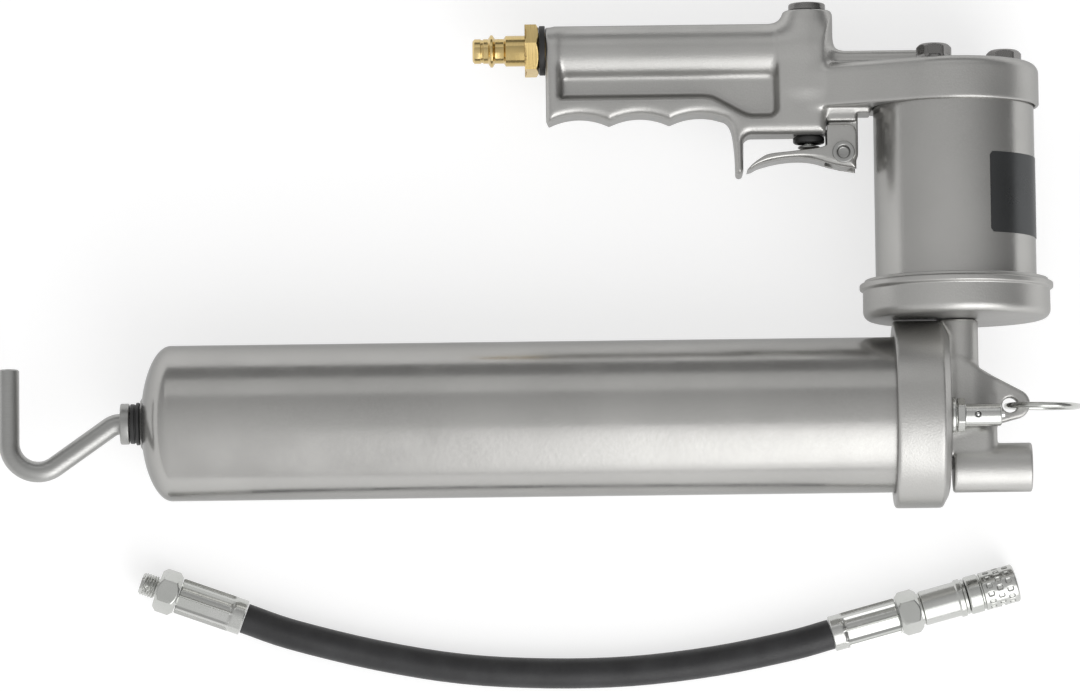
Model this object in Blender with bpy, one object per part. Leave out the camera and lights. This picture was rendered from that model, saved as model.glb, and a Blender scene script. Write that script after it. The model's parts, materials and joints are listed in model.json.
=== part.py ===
"""Air-operated grease gun with its delivery hose, lying on its side.

The gun is modelled in its own frame, under the empty gun_frame: X runs along the grease barrel,
Y along the air cylinder towards the handle, and Z out of the gun's side. Their crossing is the
frame's origin. gun_frame is then laid on the ground on its three thickest rims: the cylinder
base, the cylinder head and the back of the barrel. The hose lies on the ground beside it.
"""

import math

import bmesh
import bpy
from mathutils import Matrix, Vector

MM = 0.001

# Air left between pieces that touch or slide on each other.
FIT = 0.3 * MM

# Points closer than this are one point.
MERGE = 0.005 * MM

# Grease barrel and its domed back end.
BARREL_DIAMETER = 56.0 * MM
BARREL_WALL = 1.6 * MM
BARREL_LENGTH = 272.6 * MM
DOME_DEPTH = 11.2 * MM
DOME_STEPS = 7
NOSE_RADIUS = 8.5 * MM

# Follower, its rod and the hooked end of the rod.
FOLLOWER_LENGTH = 14.0 * MM
FOLLOWER_STANDOFF = 2.0 * MM
FOLLOWER_SPRING_RADIUS = 15.0 * MM
FOLLOWER_SPRING_WIRE = 2.2 * MM
FOLLOWER_SPRING_TURNS = 13
ROD_DIAMETER = 7.5 * MM
BUSH_FLANGE_RADIUS = 7.7 * MM
BUSH_FLANGE_LENGTH = 3.4 * MM
BUSH_SPIGOT_RADIUS = 6.0 * MM
ROD_COLLAR_RADIUS = 7.4 * MM
ROD_COLLAR_LENGTH = 3.3 * MM
HOOK_SLANT = math.radians(35.0)
HOOK_KINK_RADIUS = 7.0 * MM
HOOK_BEND_RADIUS = 10.5 * MM
HOOK_DROP = 16.9 * MM
HOOK_TIP_RISE = 37.0 * MM

# Grease head casting: barrel collar, neck, pump block, outlet boss and hanging lug.
HEAD_FACE_SETBACK = 3.8 * MM
HEAD_DISC_THICKNESS = 5.0 * MM
COLLAR_DIAMETER = 67.4 * MM
COLLAR_LENGTH = 19.6 * MM
COLLAR_CHAMFER = 2.6 * MM
BARREL_GASKET_THICKNESS = 1.2 * MM
NECK_DIAMETER = 15.0 * MM
SPIGOT_DIAMETER = 12.4 * MM
BLOCK_FRONT = 13.7 * MM
BLOCK_TOP = 20.2 * MM
BLOCK_BOTTOM = -15.4 * MM
BLOCK_WIDTH = 14.8 * MM
BLOCK_CORNER = 5.0 * MM
LUG_THICKNESS = 5.0 * MM
LUG_NOSE_RADIUS = 5.3 * MM
LUG_NOSE_X = 20.4 * MM
LUG_NOSE_Y = 3.3 * MM
LUG_HOLE_DIAMETER = 5.5 * MM
LUG_HOLE_X = 18.4 * MM
LUG_HOLE_Y = 2.9 * MM
PUMP_BORE = 8.0 * MM
INLET_PORT_DIAMETER = 6.0 * MM
INLET_PORT_Y = 4.0 * MM
OUTLET_DIAMETER = 17.7 * MM
OUTLET_END = 26.0 * MM
OUTLET_Y = -19.5 * MM
OUTLET_MOUTH = 9.6 * MM
OUTLET_MOUTH_DEPTH = 12.4 * MM
CHECK_CHAMBER = 6.8 * MM
CHECK_CHAMBER_DEPTH = 8.6 * MM
CHECK_PASSAGE = 4.2 * MM
CHECK_BALL_DIAMETER = 5.2 * MM
CHECK_SCREW_LENGTH = 3.0 * MM

# Hanging ring, bleed valve.
RING_DIAMETER = 28.0 * MM
RING_WIRE = 2.1 * MM
RING_DROOP = math.radians(20.0)
BLEED_Y = -1.6 * MM
BLEED_CLEARANCE = 0.4 * MM
BLEED_FLANGE_DIAMETER = 13.0 * MM
BLEED_BODY_DIAMETER = 8.1 * MM
BLEED_LENGTH = 18.0 * MM
BLEED_THREAD_DIAMETER = 6.0 * MM
BLEED_PIN_DIAMETER = 2.4 * MM
BLEED_PIN_STANDOUT = 1.2 * MM

# Air cylinder: base cup, tube, piston and pump plunger.
BASE_GAP = 0.4 * MM
BASE_DIAMETER = 67.6 * MM
BASE_HEIGHT = 14.5 * MM
BASE_FLOOR = 5.7 * MM
BASE_CORNER = 3.2 * MM
BEAD_STANDOUT = 1.1 * MM
BEAD_WIDTH = 3.0 * MM
TUBE_DIAMETER = 58.0 * MM
TUBE_WALL = 2.0 * MM
TUBE_VISIBLE = 62.3 * MM
GLAND_NUT_DIAMETER = 19.0 * MM
GLAND_NUT_LENGTH = 6.0 * MM
PACKING_DIAMETER = 10.8 * MM
PACKING_LENGTH = 4.6 * MM
PISTON_HEIGHT = 12.0 * MM
PISTON_TOP_GAP = 5.6 * MM
PISTON_SEAL_WIDTH = 4.0 * MM
PISTON_SEAL_DEPTH = 2.3 * MM
PLUNGER_DIAMETER = 7.4 * MM
PLUNGER_SHOULDER_DIAMETER = 12.0 * MM
PLUNGER_SHOULDER_LENGTH = 2.8 * MM
PLUNGER_STUD_DIAMETER = 6.4 * MM
PLUNGER_TIP_Y = 8.6 * MM
PISTON_NUT_FLATS = 13.0 * MM
PISTON_NUT_HEIGHT = 3.6 * MM
RETURN_SPRING_RADIUS = 15.0 * MM
RETURN_SPRING_WIRE = 2.6 * MM
RETURN_SPRING_TURNS = 6

# Cylinder head cap with its plate, gasket and bolts.
CAP_DIAMETER = 61.8 * MM
CAP_HEIGHT = 15.7 * MM
CAP_EDGE = 3.9 * MM
CAP_RIM = 0.9 * MM
CAP_RECESS = 3.0 * MM
HEAD_GASKET_THICKNESS = 0.6 * MM
HEAD_PLATE_THICKNESS = 6.0 * MM
BOLT_COUNT = 3
BOLT_FIRST_ANGLE = math.radians(114.0)
BOLT_INSET = 8.2 * MM
BOLT_FLATS = 11.0 * MM
BOLT_HEAD_HEIGHT = 5.2 * MM
BOLT_SHANK_DIAMETER = 6.0 * MM
BOLT_LENGTH = 17.5 * MM

# Handle casting.
GRIP_BACK = -147.2 * MM
GRIP_WIDTH = 20.6 * MM
GRIP_EDGE = 4.0 * MM
DUCT_LIFT = 22.8 * MM
DUCT_RADIUS = 9.4 * MM
DUCT_BORE = 9.0 * MM
GRIP_CROWN = 8.5 * MM
FINGER_LINE_DROP = 27.3 * MM
FINGER_PITCH = 21.8 * MM
FINGER_DEPTH = 2.6 * MM
FINGER_COUNT = 3
SPUR_X = -77.7 * MM
SPUR_WIDTH = 3.0 * MM
SPUR_DROP = 46.9 * MM
UNDERSIDE_DROP = 32.4 * MM
ARM_UNDERSIDE_DROP = 25.0 * MM
ARM_SETBACK = 1.2 * MM
RIB_DROP = 1.9 * MM
RIB_WIDTH = 13.0 * MM
RIB_END = -8.5 * MM
POCKET_BACK = 6.0 * MM
POCKET_FRONT_X = -64.8 * MM
POCKET_STEP_X = -92.0 * MM
POCKET_TOP_DROP = 3.4 * MM
POCKET_LOW_DROP = 19.2 * MM
POCKET_DEEP_DROP = 26.2 * MM
POCKET_WEB = 8.0 * MM

# Trigger valve in the boss.
VALVE_X = -52.4 * MM
BOSS_RADIUS = 8.7 * MM
BOSS_RISE = 13.1 * MM
BOSS_FILLET = 5.0 * MM
VALVE_BORE = 12.6 * MM
VALVE_SEAT_DROP = 7.2 * MM
VALVE_THROAT = 6.4 * MM
VALVE_PORT_DROP = 16.2 * MM
VALVE_PORT = 5.6 * MM
POPPET_DIAMETER = 10.4 * MM
POPPET_THICKNESS = 3.0 * MM
STEM_DIAMETER = 4.0 * MM
VALVE_BUSH_DIAMETER = 8.4 * MM
VALVE_BUSH_LENGTH = 7.4 * MM
VALVE_BUSH_STANDOUT = 1.7 * MM
STEM_SEAL_LENGTH = 2.0 * MM
VALVE_SPRING_RADIUS = 4.0 * MM
VALVE_SPRING_WIRE = 0.9 * MM
VALVE_SPRING_TURNS = 5
VALVE_CAP_FLANGE = 13.4 * MM
VALVE_CAP_HEIGHT = 2.5 * MM
VALVE_CAP_DEPTH = 6.0 * MM
VALVE_CAP_SEAL_WIDTH = 1.6 * MM

# Trigger and its hollow pin.
PIVOT_X = -40.2 * MM
PIVOT_DROP = 39.2 * MM
LUG_HALF_WIDTH = 6.0 * MM
LUG_RADIUS = 5.4 * MM
EAR_THICKNESS = 2.0 * MM
EAR_TOP = 10.0 * MM
EAR_FRONT = 4.8 * MM
EAR_BACK = 6.0 * MM
TRIGGER_REACH = 34.9 * MM
PIN_DIAMETER = 6.0 * MM
PIN_BORE = 4.6 * MM
PIN_HEAD_DIAMETER = 8.0 * MM
PIN_HEAD_THICKNESS = 1.0 * MM

# Brass air inlet plug and its washer.
WASHER_DIAMETER = 18.0 * MM
WASHER_THICKNESS = 2.0 * MM
PLUG_FLATS = 17.0 * MM
PLUG_HEX_LENGTH = 4.2 * MM
PLUG_THREAD_DIAMETER = 13.0 * MM
PLUG_THREAD_LENGTH = 11.0 * MM
PLUG_BODY_DIAMETER = 11.2 * MM
PLUG_BODY_LENGTH = 8.2 * MM
PLUG_NECK_DIAMETER = 9.0 * MM
PLUG_NECK_LENGTH = 4.0 * MM
PLUG_RIDGE_DIAMETER = 11.8 * MM
PLUG_RIDGE_LENGTH = 1.7 * MM
PLUG_TIP_LENGTH = 5.6 * MM
PLUG_BORE = 6.0 * MM

# Delivery hose and its fittings. The route is measured from the gun frame's origin.
HOSE_DIAMETER = 11.0 * MM
HOSE_ROUTE = (
    (-257.8 * MM, -70.2 * MM),
    (-240.4 * MM, -76.4 * MM),
    (-209.8 * MM, -84.2 * MM),
    (-179.2 * MM, -89.5 * MM),
    (-148.6 * MM, -91.5 * MM),
    (-117.9 * MM, -91.1 * MM),
    (-87.2 * MM, -87.8 * MM),
    (-60.0 * MM, -82.6 * MM),
    (-45.0 * MM, -78.6 * MM),
)
HOSE_STEPS = 2
FERRULE_DIAMETER = 13.0 * MM
STEM_FERRULE_LENGTH = 25.2 * MM
STEM_HEX_FLATS = 14.0 * MM
STEM_HEX_LENGTH = 7.8 * MM
STEM_THREAD_DIAMETER = 8.6 * MM
STEM_THREAD_LENGTH = 6.4 * MM
STEM_BORE = 3.6 * MM
COUPLER_FERRULE_LENGTH = 25.4 * MM
COUPLER_HEX_LENGTH = 7.8 * MM
COUPLER_BODY_LENGTH = 17.7 * MM
COUPLER_SLEEVE_LENGTH = 18.6 * MM
COUPLER_DIAMETER = 14.0 * MM
COUPLER_BORE = 10.6 * MM
COUPLER_MOUTH = 9.4 * MM
COUPLER_LIP = 1.6 * MM
JAW_COUNT = 4
JAW_LENGTH = 9.0 * MM
JAW_BORE = 7.6 * MM
JAW_SLIT = 1.2 * MM
COUPLER_SEAL_LENGTH = 3.0 * MM
COUPLER_SPRING_WIRE = 0.9 * MM
COUPLER_SPRING_TURNS = 4

# How finely the round shapes are cut.
FINE_SEGMENTS = 40
ROUND_SEGMENTS = 24
SMALL_SEGMENTS = 16
WIRE_SIDES = 0
SPRING_STEPS = 9

X = Vector((1.0, 0.0, 0.0))
Y = Vector((0.0, 1.0, 0.0))
Z = Vector((0.0, 0.0, 1.0))
ORIGIN = Vector((0.0, 0.0, 0.0))


# Places that follow from the sizes, in the gun frame.
barrel_r = BARREL_DIAMETER / 2
barrel_bore = barrel_r - BARREL_WALL
collar_r = COLLAR_DIAMETER / 2
face_x = -HEAD_FACE_SETBACK
disc_back = face_x - HEAD_DISC_THICKNESS
collar_back = face_x - COLLAR_LENGTH
gasket_back = disc_back - FIT - BARREL_GASKET_THICKNESS
barrel_front = gasket_back - FIT
dome_start = barrel_front - BARREL_LENGTH
nose_x = dome_start - DOME_DEPTH
bush_end = nose_x - FIT - BUSH_FLANGE_LENGTH
collar_end = bush_end - FIT - ROD_COLLAR_LENGTH
follower_front = gasket_back - FOLLOWER_STANDOFF
follower_back = follower_front - FOLLOWER_LENGTH
rod_r = ROD_DIAMETER / 2

base_r = BASE_DIAMETER / 2
bead_r = base_r + BEAD_STANDOUT
base_bottom = collar_r + BASE_GAP
base_floor = base_bottom + BASE_FLOOR
base_top = base_bottom + BASE_HEIGHT
tube_r = TUBE_DIAMETER / 2
tube_bore = tube_r - TUBE_WALL
tube_bottom = base_floor + FIT
cap_r = CAP_DIAMETER / 2
cap_bottom = base_top + TUBE_VISIBLE
cap_top = cap_bottom + CAP_HEIGHT
recess_top = cap_bottom + CAP_RECESS
gasket_bottom = recess_top - FIT - HEAD_GASKET_THICKNESS
tube_top = gasket_bottom - FIT
plate_top = recess_top - FIT
plate_bottom = plate_top - HEAD_PLATE_THICKNESS
piston_top = plate_bottom - PISTON_TOP_GAP
piston_bottom = piston_top - PISTON_HEIGHT
spigot_top = base_floor + GLAND_NUT_LENGTH - FIT - 1.5 * MM
packing_bottom = spigot_top - PACKING_LENGTH - FIT

duct_y = cap_bottom + DUCT_LIFT
grip_top = duct_y + GRIP_CROWN
finger_y = duct_y - FINGER_LINE_DROP
underside_y = duct_y - UNDERSIDE_DROP
arm_underside = duct_y - ARM_UNDERSIDE_DROP
rib_top = duct_y - RIB_DROP
boss_top = duct_y + BOSS_RISE
seat_y = duct_y - VALVE_SEAT_DROP
port_y = duct_y - VALVE_PORT_DROP
pivot_y = duct_y - PIVOT_DROP
grip_half = GRIP_WIDTH / 2
fork_inner = LUG_HALF_WIDTH + FIT
fork_outer = fork_inner + EAR_THICKNESS
bleed_z = (BLOCK_WIDTH + BLEED_FLANGE_DIAMETER) / 2 + BLEED_CLEARANCE
pivot = Vector((PIVOT_X, pivot_y, 0.0))


def clear_scene():
    for old in list(bpy.data.objects):
        bpy.data.objects.remove(old, do_unlink=True)


def add_empty(name, location=ORIGIN, parent=None):
    empty = bpy.data.objects.new(name, None)
    empty.location = location
    empty.parent = parent
    bpy.context.scene.collection.objects.link(empty)
    return empty


def make_material(name, colour, roughness, metallic):
    material = bpy.data.materials.new(name)
    material.use_nodes = True
    shader = material.node_tree.nodes["Principled BSDF"]
    shader.inputs["Base Color"].default_value = (*colour, 1.0)
    shader.inputs["Roughness"].default_value = roughness
    shader.inputs["Metallic"].default_value = metallic
    return material


def add_mesh(name, bm, look, parent, at=ORIGIN):
    """Turn a bmesh drawn in the parent's frame into an object whose own origin is at a point."""
    bmesh.ops.recalc_face_normals(bm, faces=bm.faces)
    bmesh.ops.translate(bm, vec=-at, verts=bm.verts)
    mesh = bpy.data.meshes.new(name)
    bm.to_mesh(mesh)
    bm.free()
    mesh.materials.append(look)
    mesh.shade_smooth()
    mesh.set_sharp_from_angle(angle=math.radians(35.0))
    piece = bpy.data.objects.new(name, mesh)
    piece.location = at
    piece.parent = parent
    bpy.context.scene.collection.objects.link(piece)
    return piece


def as_tool(piece):
    """Hide an object that only shapes another one."""
    piece.hide_render = True
    piece.display_type = "WIRE"
    return piece


def boolean(piece, operation, tools):
    for tool in tools:
        as_tool(tool)
        step = piece.modifiers.new(f"{operation.lower()} {tool.name}", "BOOLEAN")
        step.operation = operation
        step.solver = "EXACT"
        step.object = tool


def arc(centre, radius, start, end, steps):
    """Points on a circle between two angles in degrees, both ends included."""
    points = []
    for i in range(steps + 1):
        angle = math.radians(start + (end - start) * i / steps)
        points.append((centre[0] + radius * math.cos(angle), centre[1] + radius * math.sin(angle)))
    return points


def turned_mesh(outline, axis, centre, segments):
    """Turn (radius, distance along axis) points about an axis; ends on the axis stay closed."""
    bm = bmesh.new()
    down = X if axis == Z else -Z
    side = (down - axis * down.dot(axis)).normalized()
    verts = [bm.verts.new(centre + side * radius + axis * along) for radius, along in outline]
    pairs = list(zip(verts, verts[1:]))
    if outline[0][0] > 0.0:
        pairs.append((verts[-1], verts[0]))
    edges = [bm.edges.new(pair) for pair in pairs]
    bmesh.ops.spin(
        bm, geom=verts + edges, cent=centre, axis=axis,
        angle=math.tau, steps=segments, use_merge=True,
    )
    bmesh.ops.remove_doubles(bm, verts=bm.verts, dist=MERGE)
    return bm


def turned(name, outline, axis, centre, segments, look, parent, at=ORIGIN):
    return add_mesh(name, turned_mesh(outline, axis, centre, segments), look, parent, at)


def sleeve(name, inner, outer, start, end, axis, centre, segments, look, parent, at=ORIGIN):
    """A plain ring or tube between two radii."""
    outline = [(inner, start), (outer, start), (outer, end), (inner, end)]
    return turned(name, outline, axis, centre, segments, look, parent, at)


def rod_mesh(radius, start, end, axis, centre, segments):
    outline = [(0.0, start), (radius, start), (radius, end), (0.0, end)]
    return turned_mesh(outline, axis, centre, segments)


def rod(name, radius, start, end, axis, centre, segments, look, parent, at=ORIGIN):
    bm = rod_mesh(radius, start, end, axis, centre, segments)
    return add_mesh(name, bm, look, parent, at)


def slab_mesh(points, depth):
    """A flat outline of 3-D points pushed along a vector."""
    bm = bmesh.new()
    face = bm.faces.new([bm.verts.new(point) for point in points])
    pushed = bmesh.ops.extrude_face_region(bm, geom=[face])["geom"]
    moved = [item for item in pushed if isinstance(item, bmesh.types.BMVert)]
    bmesh.ops.translate(bm, vec=depth, verts=moved)
    bmesh.ops.recalc_face_normals(bm, faces=bm.faces)
    return bm


def side_slab(name, outline, half_width, look, parent, at=ORIGIN, edge=0.0):
    """An outline in the gun's side view, as thick as twice half_width, its rim rounded by edge."""
    bm = slab_mesh([Vector((x, y, -half_width)) for x, y in outline], Z * half_width * 2)
    if edge:
        rim = [e for e in bm.edges if abs(e.verts[0].co.z - e.verts[1].co.z) < 1e-9]
        bmesh.ops.bevel(
            bm, geom=rim, offset=edge, segments=2, profile=0.5, affect="EDGES", clamp_overlap=True,
        )
        bmesh.ops.remove_doubles(bm, verts=bm.verts, dist=MERGE)
    return add_mesh(name, bm, look, parent, at)


def block(name, low, high, look, parent):
    corners = [(low[0], low[1]), (high[0], low[1]), (high[0], high[1]), (low[0], high[1])]
    points = [Vector((x, y, low[2])) for x, y in corners]
    return add_mesh(name, slab_mesh(points, Z * (high[2] - low[2])), look, parent)


def hexagon(flats, axis, centre, start, end):
    """A hexagon prism with two flats facing along Z."""
    side = axis.cross(Z).normalized()
    up = side.cross(axis)
    radius = flats / math.sqrt(3.0)
    points = []
    for i in range(6):
        angle = math.tau * i / 6
        spoke = side * math.cos(angle) + up * math.sin(angle)
        points.append(centre + axis * start + spoke * radius)
    return slab_mesh(points, axis * (end - start))


def wire(name, points, diameter, look, parent, sides, closed=False, at=ORIGIN):
    """A round wire along points, with filled ends."""
    curve = bpy.data.curves.new(name, "CURVE")
    curve.dimensions = "3D"
    curve.bevel_depth = diameter / 2
    curve.bevel_resolution = sides
    curve.use_fill_caps = True
    path = curve.splines.new("POLY")
    path.points.add(len(points) - 1)
    for point, place in zip(path.points, points):
        point.co = (*(place - at), 1.0)
    path.use_cyclic_u = closed
    path.use_smooth = True
    curve.materials.append(look)
    piece = bpy.data.objects.new(name, curve)
    piece.location = at
    piece.parent = parent
    bpy.context.scene.collection.objects.link(piece)
    return piece


def coil(name, axis, centre, radius, start, end, turns, diameter, look, parent):
    """A compression spring whose wire stays between two stations on its axis."""
    side = axis.orthogonal().normalized()
    other = axis.cross(side)
    lift = diameter / 2 + FIT
    first, last = start + lift, end - lift
    points = []
    for i in range(turns * SPRING_STEPS + 1):
        share = i / (turns * SPRING_STEPS)
        angle = math.tau * turns * share
        spoke = side * math.cos(angle) + other * math.sin(angle)
        points.append(centre + axis * (first + (last - first) * share) + spoke * radius)
    return wire(name, points, diameter, look, parent, WIRE_SIDES)


def smooth_route(points, steps):
    """Points on a smooth curve through the given ones."""
    padded = [points[0] * 2 - points[1], *points, points[-1] * 2 - points[-2]]
    route = []
    for before, here, after, beyond in zip(padded, padded[1:], padded[2:], padded[3:]):
        for i in range(steps):
            t = i / steps
            route.append(
                here * (2 - 5 * t * t + 3 * t ** 3) / 2
                + after * (t + 4 * t * t - 3 * t ** 3) / 2
                + before * (-t + 2 * t * t - t ** 3) / 2
                + beyond * (-t * t + t ** 3) / 2
            )
    route.append(points[-1])
    return route


clear_scene()
gun = add_empty("gun_frame")

paint = make_material("satin silver paint", (0.42, 0.43, 0.42), 0.38, 0.85)
steel = make_material("zinc plated steel", (0.62, 0.62, 0.60), 0.25, 1.0)
bright = make_material("bright chrome", (0.80, 0.80, 0.80), 0.10, 1.0)
dark_steel = make_material("dark steel", (0.18, 0.18, 0.19), 0.40, 1.0)
brass = make_material("brass", (0.66, 0.52, 0.22), 0.28, 1.0)
rubber = make_material("black rubber", (0.02, 0.02, 0.02), 0.65, 0.0)
seal_look = make_material("dark nitrile", (0.03, 0.03, 0.03), 0.55, 0.0)


def dome_points(radius, depth):
    """Outline of the barrel's dome from its rim to the flat nose."""
    last = math.acos(NOSE_RADIUS / radius)
    points = []
    for i in range(DOME_STEPS + 1):
        angle = last * i / DOME_STEPS
        points.append((radius * math.cos(angle), dome_start - depth * math.sin(angle)))
    return points


def build_barrel():
    """Rolled tube with a domed back end and a hole for the rod's bush."""
    bush_hole = BUSH_SPIGOT_RADIUS + FIT
    outline = [
        (barrel_bore, barrel_front),
        (barrel_r, barrel_front),
        *dome_points(barrel_r, DOME_DEPTH),
        (NOSE_RADIUS, nose_x),
        (bush_hole, nose_x),
        (bush_hole, nose_x + BARREL_WALL),
        *reversed(dome_points(barrel_bore, DOME_DEPTH - BARREL_WALL)),
    ]
    turned("barrel", outline, X, ORIGIN, FINE_SEGMENTS, paint, gun)
    gasket_inner = barrel_bore - 3.0 * MM
    sleeve(
        "barrel_gasket", gasket_inner, barrel_r, gasket_back, disc_back - FIT,
        X, ORIGIN, ROUND_SEGMENTS, seal_look, gun,
    )


def build_follower():
    """Follower cup, its spring, and the hooked rod with the collar and bush at the back end."""
    hole = rod_r + FIT
    rod_end = follower_front - FOLLOWER_LENGTH * 0.4
    cup_r = barrel_bore - FIT
    lip = 2.4 * MM
    hub = 9.0 * MM
    floor = 4.0 * MM
    outline = [
        (0.0, follower_front),
        (cup_r, follower_front),
        (cup_r, follower_back),
        (cup_r - lip, follower_back),
        (cup_r - lip, follower_front - floor),
        (hub, follower_front - floor),
        (hub, follower_back),
        (hole, follower_back),
        (hole, rod_end + FIT),
        (0.0, rod_end + FIT),
    ]
    turned("follower", outline, X, ORIGIN, ROUND_SEGMENTS, seal_look, gun)
    coil(
        "follower_spring", -X, ORIGIN, FOLLOWER_SPRING_RADIUS,
        floor - follower_front, -nose_x - BARREL_WALL - 2.4 * MM, FOLLOWER_SPRING_TURNS,
        FOLLOWER_SPRING_WIRE, dark_steel, gun,
    )

    # The rod runs back on the axis, slants down, and bends up into an open hook.
    slant = math.degrees(HOOK_SLANT)
    kink_centre = (collar_end, -HOOK_KINK_RADIUS)
    kink = arc(kink_centre, HOOK_KINK_RADIUS, 90.0, 90.0 + slant, 3)
    bend_y = HOOK_BEND_RADIUS - HOOK_DROP
    bend_entry_y = bend_y - HOOK_BEND_RADIUS * math.cos(HOOK_SLANT)
    run = (kink[-1][1] - bend_entry_y) / math.tan(HOOK_SLANT)
    bend_entry_x = kink[-1][0] - run
    bend_x = bend_entry_x - HOOK_BEND_RADIUS * math.sin(HOOK_SLANT)
    bend = arc((bend_x, bend_y), HOOK_BEND_RADIUS, -90.0 + slant, -180.0, 8)
    tip = (bend_x - HOOK_BEND_RADIUS, HOOK_TIP_RISE - HOOK_DROP)
    path = [(rod_end, 0.0), *kink, *bend, tip]
    wire("follower_rod", [Vector((x, y, 0.0)) for x, y in path], ROD_DIAMETER, steel, gun, 4)

    sleeve(
        "rod_collar", hole, ROD_COLLAR_RADIUS, collar_end, bush_end - FIT,
        X, ORIGIN, SMALL_SEGMENTS, steel, gun,
    )
    bush = [
        (hole, bush_end),
        (BUSH_FLANGE_RADIUS, bush_end),
        (BUSH_FLANGE_RADIUS, nose_x - FIT),
        (BUSH_SPIGOT_RADIUS, nose_x - FIT),
        (BUSH_SPIGOT_RADIUS, nose_x + BARREL_WALL),
        (hole, nose_x + BARREL_WALL),
    ]
    turned("rod_bush", bush, X, ORIGIN, SMALL_SEGMENTS, rubber, gun)


def build_grease_head():
    """Casting that takes the barrel, carries the air cylinder and holds the pump."""
    thread_r = barrel_r + FIT
    collar = [
        (0.0, face_x),
        (collar_r - COLLAR_CHAMFER * 1.8, face_x),
        (collar_r, face_x - COLLAR_CHAMFER),
        (collar_r, collar_back),
        (thread_r, collar_back),
        (thread_r, disc_back),
        (0.0, disc_back),
    ]
    head = turned("grease_head", collar, X, ORIGIN, FINE_SEGMENTS, paint, gun)
    neck_r = NECK_DIAMETER / 2
    spigot_r = SPIGOT_DIAMETER / 2
    neck = [
        (0.0, 0.0),
        (neck_r, 0.0),
        (neck_r, base_bottom - FIT),
        (spigot_r, base_bottom - FIT),
        (spigot_r, spigot_top),
        (0.0, spigot_top),
    ]
    inside_disc = (face_x + disc_back) / 2
    half = BLOCK_WIDTH / 2
    block_plan = [
        Vector((inside_disc, BLOCK_BOTTOM, -half)),
        *[
            Vector((x, BLOCK_BOTTOM, z))
            for x, z in arc((BLOCK_FRONT - BLOCK_CORNER, -half + BLOCK_CORNER), BLOCK_CORNER, -90, 0, 4)
        ],
        *[
            Vector((x, BLOCK_BOTTOM, z))
            for x, z in arc((BLOCK_FRONT - BLOCK_CORNER, half - BLOCK_CORNER), BLOCK_CORNER, 0, 90, 4)
        ],
        Vector((inside_disc, BLOCK_BOTTOM, half)),
    ]
    block_height = LUG_NOSE_Y - BLOCK_BOTTOM
    upper = arc((LUG_NOSE_X, LUG_NOSE_Y), LUG_NOSE_RADIUS, -68.0, 64.0, 6)
    lug = [(inside_disc, BLOCK_BOTTOM + 6.0 * MM), *upper, (0.0, BLOCK_TOP), (inside_disc, BLOCK_TOP)]
    outlet_r = OUTLET_DIAMETER / 2
    outlet_axis = Vector((0.0, OUTLET_Y, 0.0))
    boolean(head, "UNION", [
        turned("head_neck", neck, Y, ORIGIN, ROUND_SEGMENTS, paint, gun),
        add_mesh("head_block", slab_mesh(block_plan, Y * block_height), paint, gun),
        side_slab("head_lug", lug, LUG_THICKNESS / 2, paint, gun),
        rod("head_outlet", outlet_r, inside_disc, OUTLET_END, X, outlet_axis, ROUND_SEGMENTS, paint, gun),
    ])

    mouth_bottom = OUTLET_END - OUTLET_MOUTH_DEPTH
    seat_x = mouth_bottom - CHECK_CHAMBER_DEPTH
    mouth = [
        (0.0, 0.0),
        (CHECK_PASSAGE / 2, 0.0),
        (CHECK_PASSAGE / 2, seat_x),
        (CHECK_CHAMBER / 2, seat_x),
        (CHECK_CHAMBER / 2, mouth_bottom),
        (OUTLET_MOUTH / 2, mouth_bottom),
        (OUTLET_MOUTH / 2, OUTLET_END + 1.0 * MM),
        (0.0, OUTLET_END + 1.0 * MM),
    ]
    bore = [
        (0.0, OUTLET_Y),
        (PUMP_BORE / 2, OUTLET_Y),
        (PUMP_BORE / 2, packing_bottom),
        (PACKING_DIAMETER / 2 + FIT, packing_bottom),
        (PACKING_DIAMETER / 2 + FIT, spigot_top + 1.0 * MM),
        (0.0, spigot_top + 1.0 * MM),
    ]
    hole_centre = Vector((LUG_HOLE_X, LUG_HOLE_Y, 0.0))
    port = Vector((0.0, INLET_PORT_Y, 0.0))
    bleed = Vector((0.0, BLEED_Y, bleed_z))
    thread = BLEED_THREAD_DIAMETER / 2 + FIT
    boolean(head, "DIFFERENCE", [
        turned("outlet_bore", mouth, X, outlet_axis, SMALL_SEGMENTS, paint, gun),
        turned("pump_bore", bore, Y, ORIGIN, SMALL_SEGMENTS, paint, gun),
        rod("inlet_port", INLET_PORT_DIAMETER / 2, disc_back - MM, 0.0, X, port, SMALL_SEGMENTS, paint, gun),
        rod("bleed_hole", thread, disc_back - MM, face_x + MM, X, bleed, SMALL_SEGMENTS, paint, gun),
        rod("lug_hole", LUG_HOLE_DIAMETER / 2, -LUG_THICKNESS, LUG_THICKNESS, Z, hole_centre,
            SMALL_SEGMENTS, paint, gun),
    ])

    ball_r = CHECK_BALL_DIAMETER / 2
    ball_x = seat_x + math.sqrt(ball_r ** 2 - (CHECK_PASSAGE / 2) ** 2) + FIT
    ball_at = Vector((ball_x, OUTLET_Y, 0.0))
    ball = bmesh.new()
    bmesh.ops.create_uvsphere(ball, u_segments=16, v_segments=10, radius=ball_r)
    bmesh.ops.translate(ball, vec=ball_at, verts=ball.verts)
    add_mesh("check_ball", ball, bright, gun, ball_at)
    coil(
        "check_spring", X, outlet_axis, CHECK_CHAMBER / 2 - 1.0 * MM, ball_x + ball_r,
        mouth_bottom + FIT, 3, 0.7 * MM, dark_steel, gun,
    )
    sleeve(
        "check_screw", CHECK_PASSAGE / 2, OUTLET_MOUTH / 2 - FIT, mouth_bottom + FIT,
        mouth_bottom + FIT + CHECK_SCREW_LENGTH, X, outlet_axis, SMALL_SEGMENTS, brass, gun,
    )


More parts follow.
